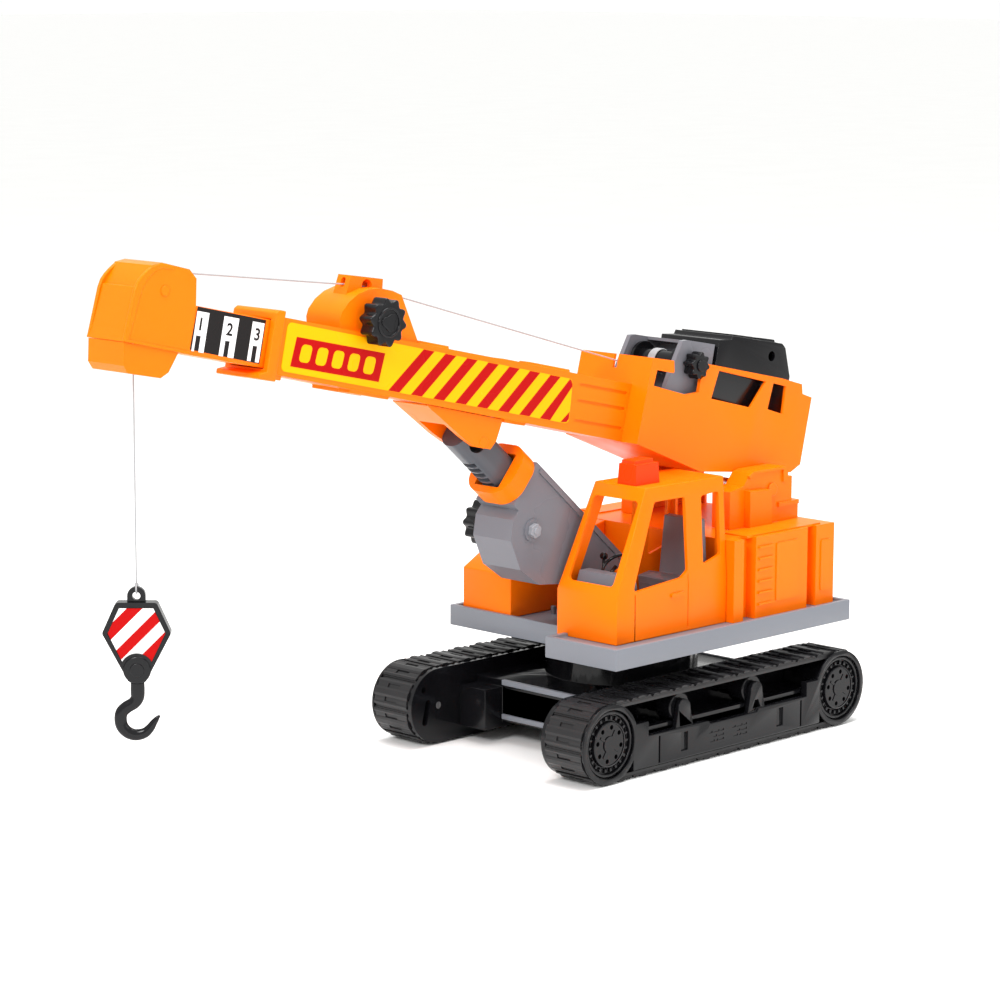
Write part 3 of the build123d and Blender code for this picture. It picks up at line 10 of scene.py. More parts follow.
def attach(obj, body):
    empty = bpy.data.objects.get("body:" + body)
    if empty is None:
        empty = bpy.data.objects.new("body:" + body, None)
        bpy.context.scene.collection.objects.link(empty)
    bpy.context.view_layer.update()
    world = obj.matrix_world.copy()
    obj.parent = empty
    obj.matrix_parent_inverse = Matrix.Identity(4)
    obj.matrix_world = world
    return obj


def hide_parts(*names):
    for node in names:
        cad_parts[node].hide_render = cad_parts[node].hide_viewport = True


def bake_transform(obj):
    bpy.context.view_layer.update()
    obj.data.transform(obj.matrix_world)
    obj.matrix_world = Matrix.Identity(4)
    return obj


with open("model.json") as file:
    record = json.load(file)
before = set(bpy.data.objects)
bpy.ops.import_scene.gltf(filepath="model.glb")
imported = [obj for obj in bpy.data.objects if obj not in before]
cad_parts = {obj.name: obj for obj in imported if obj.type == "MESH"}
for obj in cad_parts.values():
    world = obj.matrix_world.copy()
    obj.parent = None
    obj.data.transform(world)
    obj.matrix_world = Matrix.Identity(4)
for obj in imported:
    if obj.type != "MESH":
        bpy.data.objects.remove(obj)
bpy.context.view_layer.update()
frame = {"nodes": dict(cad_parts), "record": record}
nodes = frame["nodes"]

# ---- shared dimensions, millimetres --------------------------------------------------
SHIFT = -120.108                # x of the slewing axis in the part's frame
THETA = radians(12.4)           # the boom's slope at rest
PIVOT = (-82.5, 137.5)          # the boom's pin, x and z
RAM_PIN = (6.6, 80.3)           # the ram's lower pin, x and z
ROD_PIN_S = 215.1               # the ram's upper pin, along the boom
SHEAVE = (453.4, 48.0)          # along the boom and square to it, as are the next three pairs
SHEAVE_R = 9.0
WINCH = (65.0, 63.3)
DRUM_R = 7.0
EYELET = (311.4, 70.8)
EXTEND = (312.5, 53.1)
LUFF = (97.0, -16.0)            # along the ram and square to it
CORD_R = 0.4
RING_Z = 129.6                  # the hook block's ring
RING_TOP = 134.4
LABEL_LOW = (17.9, 19.2)        # the stripe label's lower edge at its two ends, and its upper edge
LABEL_HIGH = (42.7, 44.4)
WHEEL_Z = 22.8
SOFT_ANGLE = radians(30)        # edges sharper than this are rounded
SIDES = ((1, "left"), (-1, "right"))


def ground(x, y, z):
    """A point given about the slewing axis, in the part's frame and in metres."""
    return Vector(((x + SHIFT) / 1000, y / 1000, z / 1000))


def boom(s, y, t):
    """A point in the boom's own frame: s along it from the pivot, t square to it."""
    return ground(PIVOT[0] + s * cos(THETA) - t * sin(THETA), y,
                  PIVOT[1] + s * sin(THETA) + t * cos(THETA))


rod_pin = (PIVOT[0] + ROD_PIN_S * cos(THETA), PIVOT[1] + ROD_PIN_S * sin(THETA))
RAM = atan2(rod_pin[1] - RAM_PIN[1], rod_pin[0] - RAM_PIN[0])


def ram(a, y, b):
    """A point in the ram's own frame: a along it from its lower pin, b square to it."""
    return ground(RAM_PIN[0] + a * cos(RAM) - b * sin(RAM), y,
                  RAM_PIN[1] + a * sin(RAM) + b * cos(RAM))


hook_x = PIVOT[0] + SHEAVE[0] * cos(THETA) - SHEAVE[1] * sin(THETA) + SHEAVE_R
FACE = radians(45)


def block(u, depth, z):
    """A point on the hook block: u across its broad side, depth out of that side."""
    return ground(hook_x - u * cos(FACE) + depth * sin(FACE), u * sin(FACE) + depth * cos(FACE), z)


# ---- materials -----------------------------------------------------------------------
def tree_of(material):
    material.use_nodes = True
    tree = material.node_tree
    shader = tree.nodes["Principled BSDF"]
    return tree, shader


def varied(tree, colour, scale, amount):
    """A colour that drifts slightly over the surface, as pigment in moulded plastic does."""
    coords = tree.nodes.new("ShaderNodeTexCoord")
    noise = tree.nodes.new("ShaderNodeTexNoise")
    noise.inputs["Scale"].default_value = scale
    noise.inputs["Detail"].default_value = 3.0
    tree.links.new(coords.outputs["Object"], noise.inputs["Vector"])
    ramp = tree.nodes.new("ShaderNodeValToRGB")
    ramp.color_ramp.elements[0].position = 0.3
    ramp.color_ramp.elements[1].position = 0.7
    for element, factor in zip(ramp.color_ramp.elements, (1 - amount, 1 + amount)):
        element.color = (*[min(c * factor, 1) for c in colour], 1)
    tree.links.new(noise.outputs["Fac"], ramp.inputs["Fac"])
    return coords, ramp.outputs["Color"]


def grain(tree, shader, coords, scale, strength, distance):
    """Fine bumps over the surface. Returns the noise behind them."""
    noise = tree.nodes.new("ShaderNodeTexNoise")
    noise.inputs["Scale"].default_value = scale
    noise.inputs["Detail"].default_value = 4
    bump = tree.nodes.new("ShaderNodeBump")
    bump.inputs["Strength"].default_value = strength
    bump.inputs["Distance"].default_value = distance
    tree.links.new(coords.outputs["Object"], noise.inputs["Vector"])
    tree.links.new(noise.outputs["Fac"], bump.inputs["Height"])
    tree.links.new(bump.outputs["Normal"], shader.inputs["Normal"])
    return noise


def rough_range(tree, shader, source, low, high):
    """Roughness that follows a noise between two values."""
    spread = tree.nodes.new("ShaderNodeMapRange")
    spread.inputs["From Min"].default_value = 0.3
    spread.inputs["From Max"].default_value = 0.7
    spread.inputs["To Min"].default_value = low
    spread.inputs["To Max"].default_value = high
    tree.links.new(source.outputs["Fac"], spread.inputs["Value"])
    tree.links.new(spread.outputs["Result"], shader.inputs["Roughness"])


def plastic(name, colour, low, high, amount=0.04, bump=0.12, subsurface=0.0, shine=0.3):
    """Moulded plastic with pigment drift, uneven gloss and the fine skin of the mould."""
    material = bpy.data.materials.new(name)
    tree, shader = tree_of(material)
    coords, tint = varied(tree, colour, 9, amount)
    tree.links.new(tint, shader.inputs["Base Color"])
    grain(tree, shader, coords, 900, bump, 0.0001)
    cloud = tree.nodes.new("ShaderNodeTexNoise")
    cloud.inputs["Scale"].default_value = 38
    tree.links.new(coords.outputs["Object"], cloud.inputs["Vector"])
    rough_range(tree, shader, cloud, low, high)
    shader.inputs["IOR"].default_value = 1.5
    shader.inputs["Specular IOR Level"].default_value = shine
    if subsurface:
        shader.inputs["Subsurface Weight"].default_value = subsurface
        shader.inputs["Subsurface Scale"].default_value = 0.002
    return material


def metal(name, colour):
    material = bpy.data.materials.new(name)
    tree, shader = tree_of(material)
    coords, tint = varied(tree, colour, 60, 0.08)
    tree.links.new(tint, shader.inputs["Base Color"])
    shader.inputs["Metallic"].default_value = 1.0
    rough_range(tree, shader, grain(tree, shader, coords, 1500, 0.2, 0.00005), 0.22, 0.4)
    return material


ORANGE = plastic("orange_plastic", (1.0, 0.172, 0.0006), 0.28, 0.4, subsurface=0.1, shine=0.12)
# A darker, redder copy of the orange plastic: painted shade for the roof box, which sits in shadow under the
# boom housing
SHADED_ORANGE = plastic("shaded_orange_plastic", (0.86, 0.048, 0.002), 0.26, 0.38, shine=0.12)
DECK_GREY = plastic("light_grey_plastic", (0.180, 0.190, 0.216), 0.3, 0.42)
MID_GREY = plastic("mid_grey_plastic", (0.150, 0.150, 0.170), 0.24, 0.36)
PALE_GREY = plastic("pale_grey_plastic", (0.25, 0.255, 0.28), 0.24, 0.36)
DARK_GREY = plastic("dark_grey_plastic", (0.07, 0.074, 0.086), 0.26, 0.4)
BLACK = plastic("black_plastic", (0.0045, 0.0045, 0.0055), 0.1, 0.24, 0.2, shine=0.24)
RUBBER = plastic("track_rubber", (0.009, 0.0085, 0.0095), 0.28, 0.46, 0.25, 0.4, shine=0.34)
STEEL = metal("steel", (0.6, 0.6, 0.6))
YELLOW_PRINT = plastic("yellow_print", (1.0, 0.42, 0.001), 0.2, 0.3, 0.02, 0.05, shine=0.08)
RED_PRINT = plastic("red_print", (0.42, 0.002, 0.002), 0.2, 0.3, 0.03, 0.05, shine=0.08)
WHITE_PRINT = plastic("white_print", (0.85, 0.84, 0.84), 0.24, 0.32, 0.02, 0.05)
BLACK_PRINT = plastic("black_print", (0.008, 0.006, 0.006), 0.2, 0.3, 0.1, 0.05, shine=0.2)


def thread_material():
    """White cord with the fine diagonal ridges of its twist."""
    material = bpy.data.materials.new("white_line")
    tree, shader = tree_of(material)
    coords, tint = varied(tree, (0.33, 0.33, 0.34), 400, 0.06)
    tree.links.new(tint, shader.inputs["Base Color"])
    wave = tree.nodes.new("ShaderNodeTexWave")
    wave.inputs["Scale"].default_value = 700
    wave.bands_direction = "DIAGONAL"
    bump = tree.nodes.new("ShaderNodeBump")
    bump.inputs["Distance"].default_value = 0.0001
    tree.links.new(coords.outputs["Object"], wave.inputs["Vector"])
    tree.links.new(wave.outputs["Fac"], bump.inputs["Height"])
    tree.links.new(bump.outputs["Normal"], shader.inputs["Normal"])
    shader.inputs["Roughness"].default_value = 0.75
    shader.inputs["Sheen Weight"].default_value = 0.3
    return material


LINE = thread_material()

MATERIAL_OF = {
    "orange_plastic": ORANGE, "light_grey_plastic": DECK_GREY, "mid_grey_plastic": MID_GREY,
    "dark_grey_plastic": DARK_GREY, "black_plastic": BLACK, "track_rubber": RUBBER, "steel": STEEL,
    "stripe_print": YELLOW_PRINT, "number_print": BLACK_PRINT, "white_line": LINE,
}
SLOT_OF = {entry["node"]: entry["material_slot"] for entry in frame["record"]["subparts"]}
BODY_OF = {node: body for body, members in frame["record"]["behaviour"]["bodies"].items()
           for node in members}


def dress(obj, material, body):
    """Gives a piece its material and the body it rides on."""
    obj.data.materials.clear()
    obj.data.materials.append(material)
    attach(obj, body)
    return obj


def mirrored(side, low, high):
    """A range on one side of the middle plane, in rising order."""
    return sorted((side * low, side * high))


def new_mesh(name, points, faces):
    mesh = bpy.data.meshes.new(name)
    mesh.from_pydata([tuple(p) for p in points], [], faces)
    mesh.validate()
    obj = bpy.data.objects.new(name, mesh)
    bpy.context.scene.collection.objects.link(obj)
    return obj


def soften(obj, width):
    """Rounds the edges of a moulded piece and shades it smoothly between them."""
    modifier = obj.modifiers.new("edges", "BEVEL")
    modifier.width = width / 1000
    modifier.segments = 2
    modifier.limit_method = "ANGLE"
    modifier.angle_limit = SOFT_ANGLE
    modifier.harden_normals = False
    modifier.use_clamp_overlap = True
    for polygon in obj.data.polygons:
        polygon.use_smooth = True
    obj.data.set_sharp_from_angle(angle=SOFT_ANGLE)


def face_outwards(obj):
    mesh = bmesh.new()
    mesh.from_mesh(obj.data)
    bmesh.ops.recalc_face_normals(mesh, faces=mesh.faces)
    mesh.to_mesh(obj.data)
    mesh.free()


def prism(name, outline, low, high, at, body, material, bevel, slot_name):
    """An outline in the (first, third) coordinates of a frame, drawn from low to high across it."""
    n = len(outline)
    points = [at(u, y, v) for y in (low, high) for u, v in outline]
    faces = [tuple(range(n)), tuple(range(2 * n - 1, n - 1, -1))]
    faces += [(i, (i + 1) % n, (i + 1) % n + n, i + n) for i in range(n)]
    obj = new_mesh(name, points, faces)
    face_outwards(obj)
    if bevel:
        soften(obj, bevel)
    return dress(obj, material, body)


def circle(centre, radius, steps, lobes=0, lobe=0.0):
    """A round outline, or one with lobes of the given height."""
    outline = []
    for k in range(steps):
        a = tau * k / steps
        r = radius + lobe * cos(lobes * a)
        outline.append((centre[0] + r * cos(a), centre[1] + r * sin(a)))
    return outline


def moulded(node, width, material=None):
    """A copy of a CAD node with its long edges rounded as a mould leaves them, in the node's place."""
    source = nodes[node]
    obj = source.copy()
    obj.data = source.data.copy()
    obj.name = f"{node}_moulded"
    for key in list(obj.keys()):
        del obj[key]
    obj.parent = None
    bpy.context.scene.collection.objects.link(obj)
    tidy = bmesh.new()
    tidy.from_mesh(obj.data)
    bmesh.ops.remove_doubles(tidy, verts=tidy.verts, dist=1e-6)
    bmesh.ops.dissolve_limit(tidy, angle_limit=radians(2), verts=tidy.verts, edges=tidy.edges)
    weight = tidy.edges.layers.float.new("bevel_weight_edge")
    room = 2.4 * width / 1000
    for edge in tidy.edges:
        length = edge.calc_length()
        turned = len(edge.link_faces) == 2 and edge.calc_face_angle(0) > radians(28)
        broad = all(face.calc_area() / length > room for face in edge.link_faces)
        edge[weight] = 1.0 if turned and broad and length > room else 0.0
        edge.smooth = not turned
    dropped = True
    while dropped:
        dropped = [edge for edge in tidy.edges if edge[weight] > 0
                   and any(not other.smooth and other[weight] == 0
                           for v in edge.verts for other in v.link_edges)]
        for edge in dropped:
            edge[weight] = 0.0
    for edge in tidy.edges:
        edge.smooth = edge.smooth or edge[weight] > 0
    for face in tidy.faces:
        face.smooth = True
    tidy.to_mesh(obj.data)
    tidy.free()
    modifier = obj.modifiers.new("edges", "BEVEL")
    modifier.width = width / 1000
    modifier.segments = 2
    modifier.limit_method = "WEIGHT"
    modifier.harden_normals = True
    modifier.use_clamp_overlap = False
    dress(obj, material or MATERIAL_OF[SLOT_OF[node]], BODY_OF[node])
    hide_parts(node)


# ---- camera --------------------------------------------------------------------------
camera_data = bpy.data.cameras.new("camera")
camera_data.sensor_width = 36
camera_data.lens = 116.2
camera = bpy.data.objects.new("camera", camera_data)
bpy.context.scene.collection.objects.link(camera)
forward = Vector((-0.70527, -0.68956, -0.16462)).normalized()
level = forward.cross(Vector((0, 0, 1))).normalized()
roll = Matrix.Rotation(radians(-0.22), 3, forward)
right = roll @ level
up = right.cross(forward)
camera.matrix_world = Matrix.Translation(ground(1357.5, 1228.3, 440.8)) @ Matrix(
    (right, up, -forward)).transposed().to_4x4()
camera_data.clip_start = 0.05
camera_data.clip_end = 30
bpy.context.scene.camera = camera


# ---- hoist line ----------------------------------------------------------------------
def route_points(points):
    """The smooth line through a route: points read from its NURBS spline."""
    curve = bpy.data.curves.new("route", "CURVE")
    curve.dimensions = "3D"
    spline = curve.splines.new("NURBS")
    spline.points.add(len(points) - 1)
    for slot_point, place in zip(spline.points, points):
        slot_point.co = (*place, 1)
    spline.order_u = 3
    spline.use_endpoint_u = True
    spline.resolution_u = 24
    holder = bpy.data.objects.new("route", curve)
    bpy.context.scene.collection.objects.link(holder)
    bpy.context.view_layer.update()
    line = bpy.data.meshes.new_from_object(holder)
    found = [v.co.copy() for v in line.vertices]
    bpy.data.objects.remove(holder)
    return found


def heading(path, i):
    return (path[min(i + 1, len(path) - 1)] - path[max(i - 1, 0)]).normalized()


def skin(name, rings, sides):
    """A closed tube over rings of points, smooth along its sides and flat at its ends."""
    faces = []
    for i in range(len(rings) - 1):
        for k in range(sides):
            a, b = i * sides + k, i * sides + (k + 1) % sides
            faces.append((a, b, b + sides, a + sides))
    faces.append(tuple(range(sides))[::-1])
    faces.append(tuple(range((len(rings) - 1) * sides, len(rings) * sides)))
    obj = new_mesh(name, [point for ring in rings for point in ring], faces)
    for polygon in obj.data.polygons:
        polygon.use_smooth = len(polygon.vertices) == 4
    return obj


def tube(name, path, radius, sides=10):
    """A round tube along a path, closed at both ends."""
    rings = []
    side = Vector((0, 1, 0))
    for i, place in enumerate(path):
        along = heading(path, i)
        if abs(along.dot(side)) > 0.9:
            side = Vector((1, 0, 0))
        across = along.cross(side).normalized()
        over = across.cross(along)
        rings.append([place + radius * (cos(tau * k / sides) * across + sin(tau * k / sides) * over)
                      for k in range(sides)])
    return skin(name, rings, sides)


reach = hypot(SHEAVE[0] - EYELET[0], SHEAVE[1] - EYELET[1])
top_slope = atan2(EYELET[1] - SHEAVE[1], SHEAVE[0] - EYELET[0]) - asin(SHEAVE_R / reach)
head_point = (SHEAVE[0] - 0.1 + SHEAVE_R * sin(top_slope), SHEAVE[1] + SHEAVE_R * cos(top_slope))


def add_line(name, route, node, body, blend_to=None):
    path = route_points(route)
    obj = tube(name, path, CORD_R / 1000)
    obj.data.materials.append(LINE)
    if blend_to:
        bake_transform(obj)
    else:
        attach(obj, body)
    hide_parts(node)


winch_point = boom(WINCH[0] + 0.5, 0, WINCH[1] - DRUM_R)
eyelet_rear = boom(EYELET[0] - 0.1, 0, EYELET[1])
eyelet_front = boom(EYELET[0] + 0.1, 0, EYELET[1])
line_head = boom(head_point[0], 0, head_point[1])
sheave_centre = boom(SHEAVE[0], 0, SHEAVE[1])
drop_top = Vector((sheave_centre.x + SHEAVE_R / 1000, 0, sheave_centre.z - 0.0001))
drop_foot = Vector((drop_top.x, 0, RING_TOP / 1000))

arc = [sheave_centre + Vector((sin(a), 0, cos(a))) * SHEAVE_R / 1000
       for a in [radians(90) * k / 14 + (top_slope - THETA) * (1 - k / 14) for k in range(15)]]
wrap = tube("line_wrap", arc, CORD_R / 1000)
dress(wrap, LINE, "line_wrap")
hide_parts("hoist_line_wrap")


def knot(name, centre, size, body):
    """A small overhand knot: a trefoil of cord pulled tight."""
    path = []
    for i in range(73):
        a = tau * i / 72
        path.append(centre + size * Vector(((sin(a) + 2 * sin(2 * a)) * 0.42,
                                            (cos(a) - 2 * cos(2 * a)) * 0.42, -sin(3 * a) * 0.55)))
    obj = tube(name, path, CORD_R / 1000)
    return dress(obj, LINE, body)


ring_knot = knot("line_knot", Vector((drop_foot.x, 0, drop_foot.z + 0.0006)), 0.0007, "block")
LOOP_R = 0.0021
LOOP_Z = (RING_Z + 3.3) / 1000
loop_path = [Vector((drop_foot.x, 0, 0)) + Vector((LOOP_R * sin(a) * sin(FACE), LOOP_R * sin(a) * cos(FACE),
                                                   LOOP_Z + LOOP_R * cos(a)))
             for a in [tau * k / 40 for k in range(41)]]
ring_loop = tube("line_loop", loop_path, CORD_R / 1000)
dress(ring_loop, LINE, "block")

add_line("line_rear", [winch_point, eyelet_rear], "hoist_line_rear", "boom")
add_line("line_front", [eyelet_front, line_head], "hoist_line_front", "boom", "extension")
add_line("line_drop", [drop_top, drop_foot], "hoist_line_drop", "line_drop", "block")

# The turns on the drum, from one side of it to the middle.
WINDING_TURNS = 6
TURN_STEPS = 24
WINDING_WIDTH = 5.4
turns = []
for k in range(WINDING_TURNS * TURN_STEPS + 1):
    a = tau * k / TURN_STEPS
    turns.append(boom(WINCH[0] + DRUM_R * sin(a),
                      -WINDING_WIDTH + WINDING_WIDTH * k / (WINDING_TURNS * TURN_STEPS),
                      WINCH[1] - DRUM_R * cos(a)))
winding = tube("winch_winding", turns, 0.00042, 8)
dress(winding, LINE, "winch")


# ---- moulded pieces with rounded edges -----------------------------------------------
for node, width in (
        ("cab_shell", 0.6), ("engine_housing", 0.6), ("right_side_box", 0.8), ("support_tower_left", 0.5),
        ("support_tower_right", 0.5), ("boom_half_left", 0.5), ("boom_half_right", 0.5),
        ("boom_collar", 0.6), ("boom_gearbox", 0.6), ("inner_boom", 0.4), ("head_shell", 0.9),
        ("head_lower", 0.9), ("rod_bracket", 0.5), ("ram_half_left", 0.7), ("ram_half_right", 0.7),
        ("ram_collar", 0.7), ("ram_rod", 0.35), ("deck", 0.5), ("winch_cover", 0.6), ("hook_block", 0.6),
        ("cab_interior", 0.7), ("side_plate_left", 0.3), ("side_plate_right", 0.3),
        ("front_wheel_left", 0.3), ("rear_wheel_left", 0.3), ("front_wheel_right", 0.3),
        ("rear_wheel_right", 0.3), ("centre_chassis", 0.4)):
    moulded(node, width)
# The roof box takes the darker orange copy as painted shade from the boom housing above it
moulded("roof_box", 0.6, material=SHADED_ORANGE)
moulded("winch_frame", 0.4, material=MID_GREY)


# ---- printed labels ------------------------------------------------------------------
def print_patch(name, outline, side, surface, material, body, slot_name):
    """A printed shape on a boom label: a thin film just proud of the label."""
    low, high = mirrored(side, surface - 0.02, surface + 0.04)
    return prism(name, outline, low, high, boom, body, material, 0, slot_name)


PRINT_INSET = 0.12


def label_low(s):
    """The lowest print on the stripe label at a place along the boom."""
    return LABEL_LOW[0] + (s - 152.8) * (LABEL_LOW[1] - LABEL_LOW[0]) / 218.7 + PRINT_INSET


def label_high(s):
    """The highest print on the stripe label at a place along the boom."""
    return LABEL_HIGH[0] + (s - 155.0) * (LABEL_HIGH[1] - LABEL_HIGH[0]) / 216.5 - PRINT_INSET


def rounded(s0, s1, t0, t1, r, skew):
    """A rounded rectangle, leaning rearwards by skew from bottom to top."""
    outline = []
    for cs, ct, start in ((s1 - r, t1 - r, 0), (s0 + r, t1 - r, 90), (s0 + r, t0 + r, 180),
                          (s1 - r, t0 + r, 270)):
        for k in range(4):
            a = radians(start + 30 * k)
            t = ct + r * sin(a)
            outline.append((cs + r * cos(a) - skew * (t - t0) / (t1 - t0), t))
    return outline


STRIPE_FACE = 15.67
for side, tag in SIDES:
    for i in range(7):
        foot, top = 294.6 - 16.85 * i, 273.4 - 16.65 * i
        outline = [(foot, label_low(foot)), (top, label_high(top)), (top - 8.2, label_high(top - 8.2)),
                   (foot - 8.3, label_low(foot - 8.3))]
        print_patch(f"stripe_{tag}_{i}", outline, side, STRIPE_FACE, RED_PRINT, "boom", "stripe_print")
    print_patch(f"stripe_{tag}_7", [(176.7, label_low(176.7)), (157.4, label_high(157.4) - 0.1), (155.9, 41.7),
                                    (154.9, 40.2), (154.6, 38.6), (168.3, label_low(168.3))],
                side, STRIPE_FACE, RED_PRINT, "boom", "stripe_print")
    print_patch(f"stripe_{tag}_8", [(159.8, label_low(159.8)), (153.7, 24.6), (153.4, 20.6), (155.0, 18.6)],
                side, STRIPE_FACE, RED_PRINT, "boom", "stripe_print")
    print_patch(f"panel_{tag}", [(364.2, 37.7), (300.9, 37.7), (302.4, 22.3), (365.7, 22.3)],
                side, STRIPE_FACE, RED_PRINT, "boom", "stripe_print")
    for i in range(5):
        s1 = 360.6 - 11.4 * i
        print_patch(f"panel_bar_{tag}_{i}", rounded(s1 - 7.4, s1, 25.4, 34.6, 2.2, 1.0),
                    side, STRIPE_FACE + 0.05, YELLOW_PRINT, "boom", "stripe_print")

NUMBER_FACE = 12.35


def numeral(name, text, s, t, height, side):
    """A raised numeral, filled and thin, reading from the outside of the boom."""
    curve = bpy.data.curves.new(name, "FONT")
    curve.body = text
    curve.size = 1.0
    curve.align_x = "CENTER"
    curve.align_y = "CENTER"
    curve.extrude = 0.02
    curve.resolution_u = 3
    curve.offset = 0.022
    holder = bpy.data.objects.new(name, curve)
    bpy.context.scene.collection.objects.link(holder)
    bpy.context.view_layer.update()
    mesh = bpy.data.meshes.new_from_object(holder)
    bpy.data.objects.remove(holder)
    spread = [v.co.y for v in mesh.vertices]
    wide = [v.co.x for v in mesh.vertices]
    k = height / (max(spread) - min(spread))
    mx, my = (max(wide) + min(wide)) / 2, (max(spread) + min(spread)) / 2
    for v in mesh.vertices:
        v.co = boom(s - side * (v.co.x - mx) * k, side * (NUMBER_FACE + 0.08 + 0.6 * v.co.z),
                    t + (v.co.y - my) * k)
    obj = bpy.data.objects.new(name, mesh)
    bpy.context.scene.collection.objects.link(obj)
    dress(obj, BLACK_PRINT, "extension")


for side, tag in SIDES:
    for i, (s0, s1, text, digit_s) in enumerate(((421.3, 429.3, "1", 425.9), (401.4, 411.3, "2", 406.6),
                                                 (384.2, 392.2, "3", 388.0))):
        mark = digit_s + 0.3 * side
        outline = [(s0, 21.4), (s0, 41.4), (s1, 41.4), (s1, 21.4), (mark + 1.5, 21.4), (mark + 1.5, 29.4),
                   (mark - 1.5, 29.4), (mark - 1.5, 21.4)]
        print_patch(f"reach_bar_{tag}_{i}", outline, side, NUMBER_FACE, WHITE_PRINT, "extension",
                    "number_print")
        numeral(f"numeral_{tag}_{i}", text, digit_s, 35.3, 6.4, side)


# ---- hook block and hook -------------------------------------------------------------
def clip_to(polygon, a, b):
    """The part of a convex polygon left of the line a to b."""
    kept = []

    def inside(p):
        return (b[0] - a[0]) * (p[1] - a[1]) - (b[1] - a[1]) * (p[0] - a[0])

    for p, q in zip(polygon, polygon[1:] + polygon[:1]):
        fp, fq = inside(p), inside(q)
        if fp >= 0:
            kept.append(p)
        if fp * fq < 0:
            k = fp / (fp - fq)
            kept.append((p[0] + (q[0] - p[0]) * k, p[1] + (q[1] - p[1]) * k))
    return kept


SHIELD = [(-8.5, 123.7), (-14.3, 111.0), (-4.4, 90.6), (4.4, 90.6), (14.3, 111.0), (8.5, 123.7)]
BAND_MIDDLE = 111               # the height that the slanting bands are measured from
BAND_EDGES = (-32.0, -13.3, -5.6, 1.6, 9.5, 17.4, 32.0)
for face_side in (1, -1):
    for i, (low, high) in enumerate(zip(BAND_EDGES, BAND_EDGES[1:])):
        band = clip_to(SHIELD, (0, BAND_MIDDLE + low), (1, BAND_MIDDLE + low + face_side))
        band = clip_to(band, (0, BAND_MIDDLE + high), (-1, BAND_MIDDLE + high - face_side))
        depth = mirrored(face_side, 2.9, 3.25)
        prism(f"block_stripe_{'front' if face_side > 0 else 'back'}_{i}", band, *depth, block, "block",
              (RED_PRINT, WHITE_PRINT)[i % 2], 0, "stripe_print")


def swept(name, path, radii, body, material, sides, flat):
    """A round bar along a path whose thickness changes, flattened across the block."""
    rings = []
    out = Vector((sin(FACE), cos(FACE), 0))
    for i, place in enumerate(path):
        across = heading(path, i).cross(out).normalized()
        rings.append([place + radii[i] / 1000 * (cos(a) * across + flat * sin(a) * out)
                      for a in [tau * k / sides for k in range(sides)]])
    return dress(skin(name, rings, sides), material, body)


def between(before, a, b, after, u):
    """A Catmull-Rom spline's point, a share u of the way from a to b."""
    return [0.5 * (2 * a[j] + (b[j] - before[j]) * u
                   + (2 * before[j] - 5 * a[j] + 4 * b[j] - after[j]) * u * u
                   + (3 * a[j] - before[j] - 3 * b[j] + after[j]) * u ** 3) for j in range(3)]


# The hook's middle line: across the block, height and radius.
HOOK = [(-0.2, 85.7, 3.5), (-0.2, 81.0, 3.6), (-0.4, 77.6, 3.4), (-2.2, 74.9, 3.2), (-5.6, 72.8, 3.2),
        (-8.2, 70.2, 3.2), (-8.9, 66.6, 3.2), (-8.1, 62.9, 3.2), (-5.4, 59.9, 3.1), (-1.5, 58.6, 3.0),
        (2.8, 59.5, 2.7), (5.6, 61.9, 2.3), (7.6, 64.8, 1.8), (9.4, 67.2, 1.2), (10.6, 68.6, 0.5)]
fine = []
for i in range(len(HOOK) - 1):
    before, after = HOOK[max(i - 1, 0)], HOOK[min(i + 2, len(HOOK) - 1)]
    fine += [between(before, HOOK[i], HOOK[i + 1], after, k / 5) for k in range(5)]
fine.append(list(HOOK[-1]))
hook = swept("hook_moulding", [block(u, 0, z) for u, z, r in fine], [r for u, z, r in fine], "hook", BLACK,
             20, 0.72)
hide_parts("crane_hook")
BOSS = (0, 92.5)
prism("block_boss", circle(BOSS, 7.0, 36), -4.2, 4.2, block, "block", BLACK, 0.6, "black_plastic")
prism("block_boss_cap", circle(BOSS, 3.6, 30), -4.7, 4.7, block, "block", BLACK, 0.4, "black_plastic")


# ---- small fittings ------------------------------------------------------------------
def bar(name, x_range, z0, z1, material, slot_name, bevel=0.4):
    """A bar across the chassis, from one track to the other."""
    x0, x1 = x_range
    outline = [(x0, z0), (x1, z0), (x1, z1), (x0, z1)]
    return prism(name, outline, -29.4, 29.4, ground, "undercarriage", material, bevel, slot_name)


# Light grey strips on the black cross-beam's upper and lower flanges: painted highlights where the flange edges
# catch the light; the web between them is black
for end, tag in ((1, "front"), (-1, "rear")):
    strip_x = mirrored(end, 66.8, 69.4)
    bar(f"cross_flange_highlight_low_{tag}", strip_x, 13.4, 16.4, DECK_GREY, "light_grey_plastic")
    bar(f"cross_flange_highlight_high_{tag}", strip_x, 33.2, 36.4, DECK_GREY, "light_grey_plastic")
    bar(f"cross_panel_{tag}", mirrored(end, 66.4, 67.2), 16.0, 33.6, BLACK, "black_plastic", 0)


def ring_path(centre_at, radius, steps=36):
    """A closed round path. centre_at places the two coordinates of its plane."""
    return [centre_at(radius * cos(tau * k / steps), radius * sin(tau * k / steps))
            for k in range(steps + 1)]


def disc(name, centre, radius, low, high, at, body, material, slot_name, bevel=0.3, lobes=0, lobe=0.0):
    """A short cylinder across a frame, round or lobed."""
    steps = 48 if lobes < 9 else 140
    return prism(name, circle(centre, radius, steps, lobes, lobe), low, high, at, body, material, bevel,
                 slot_name)


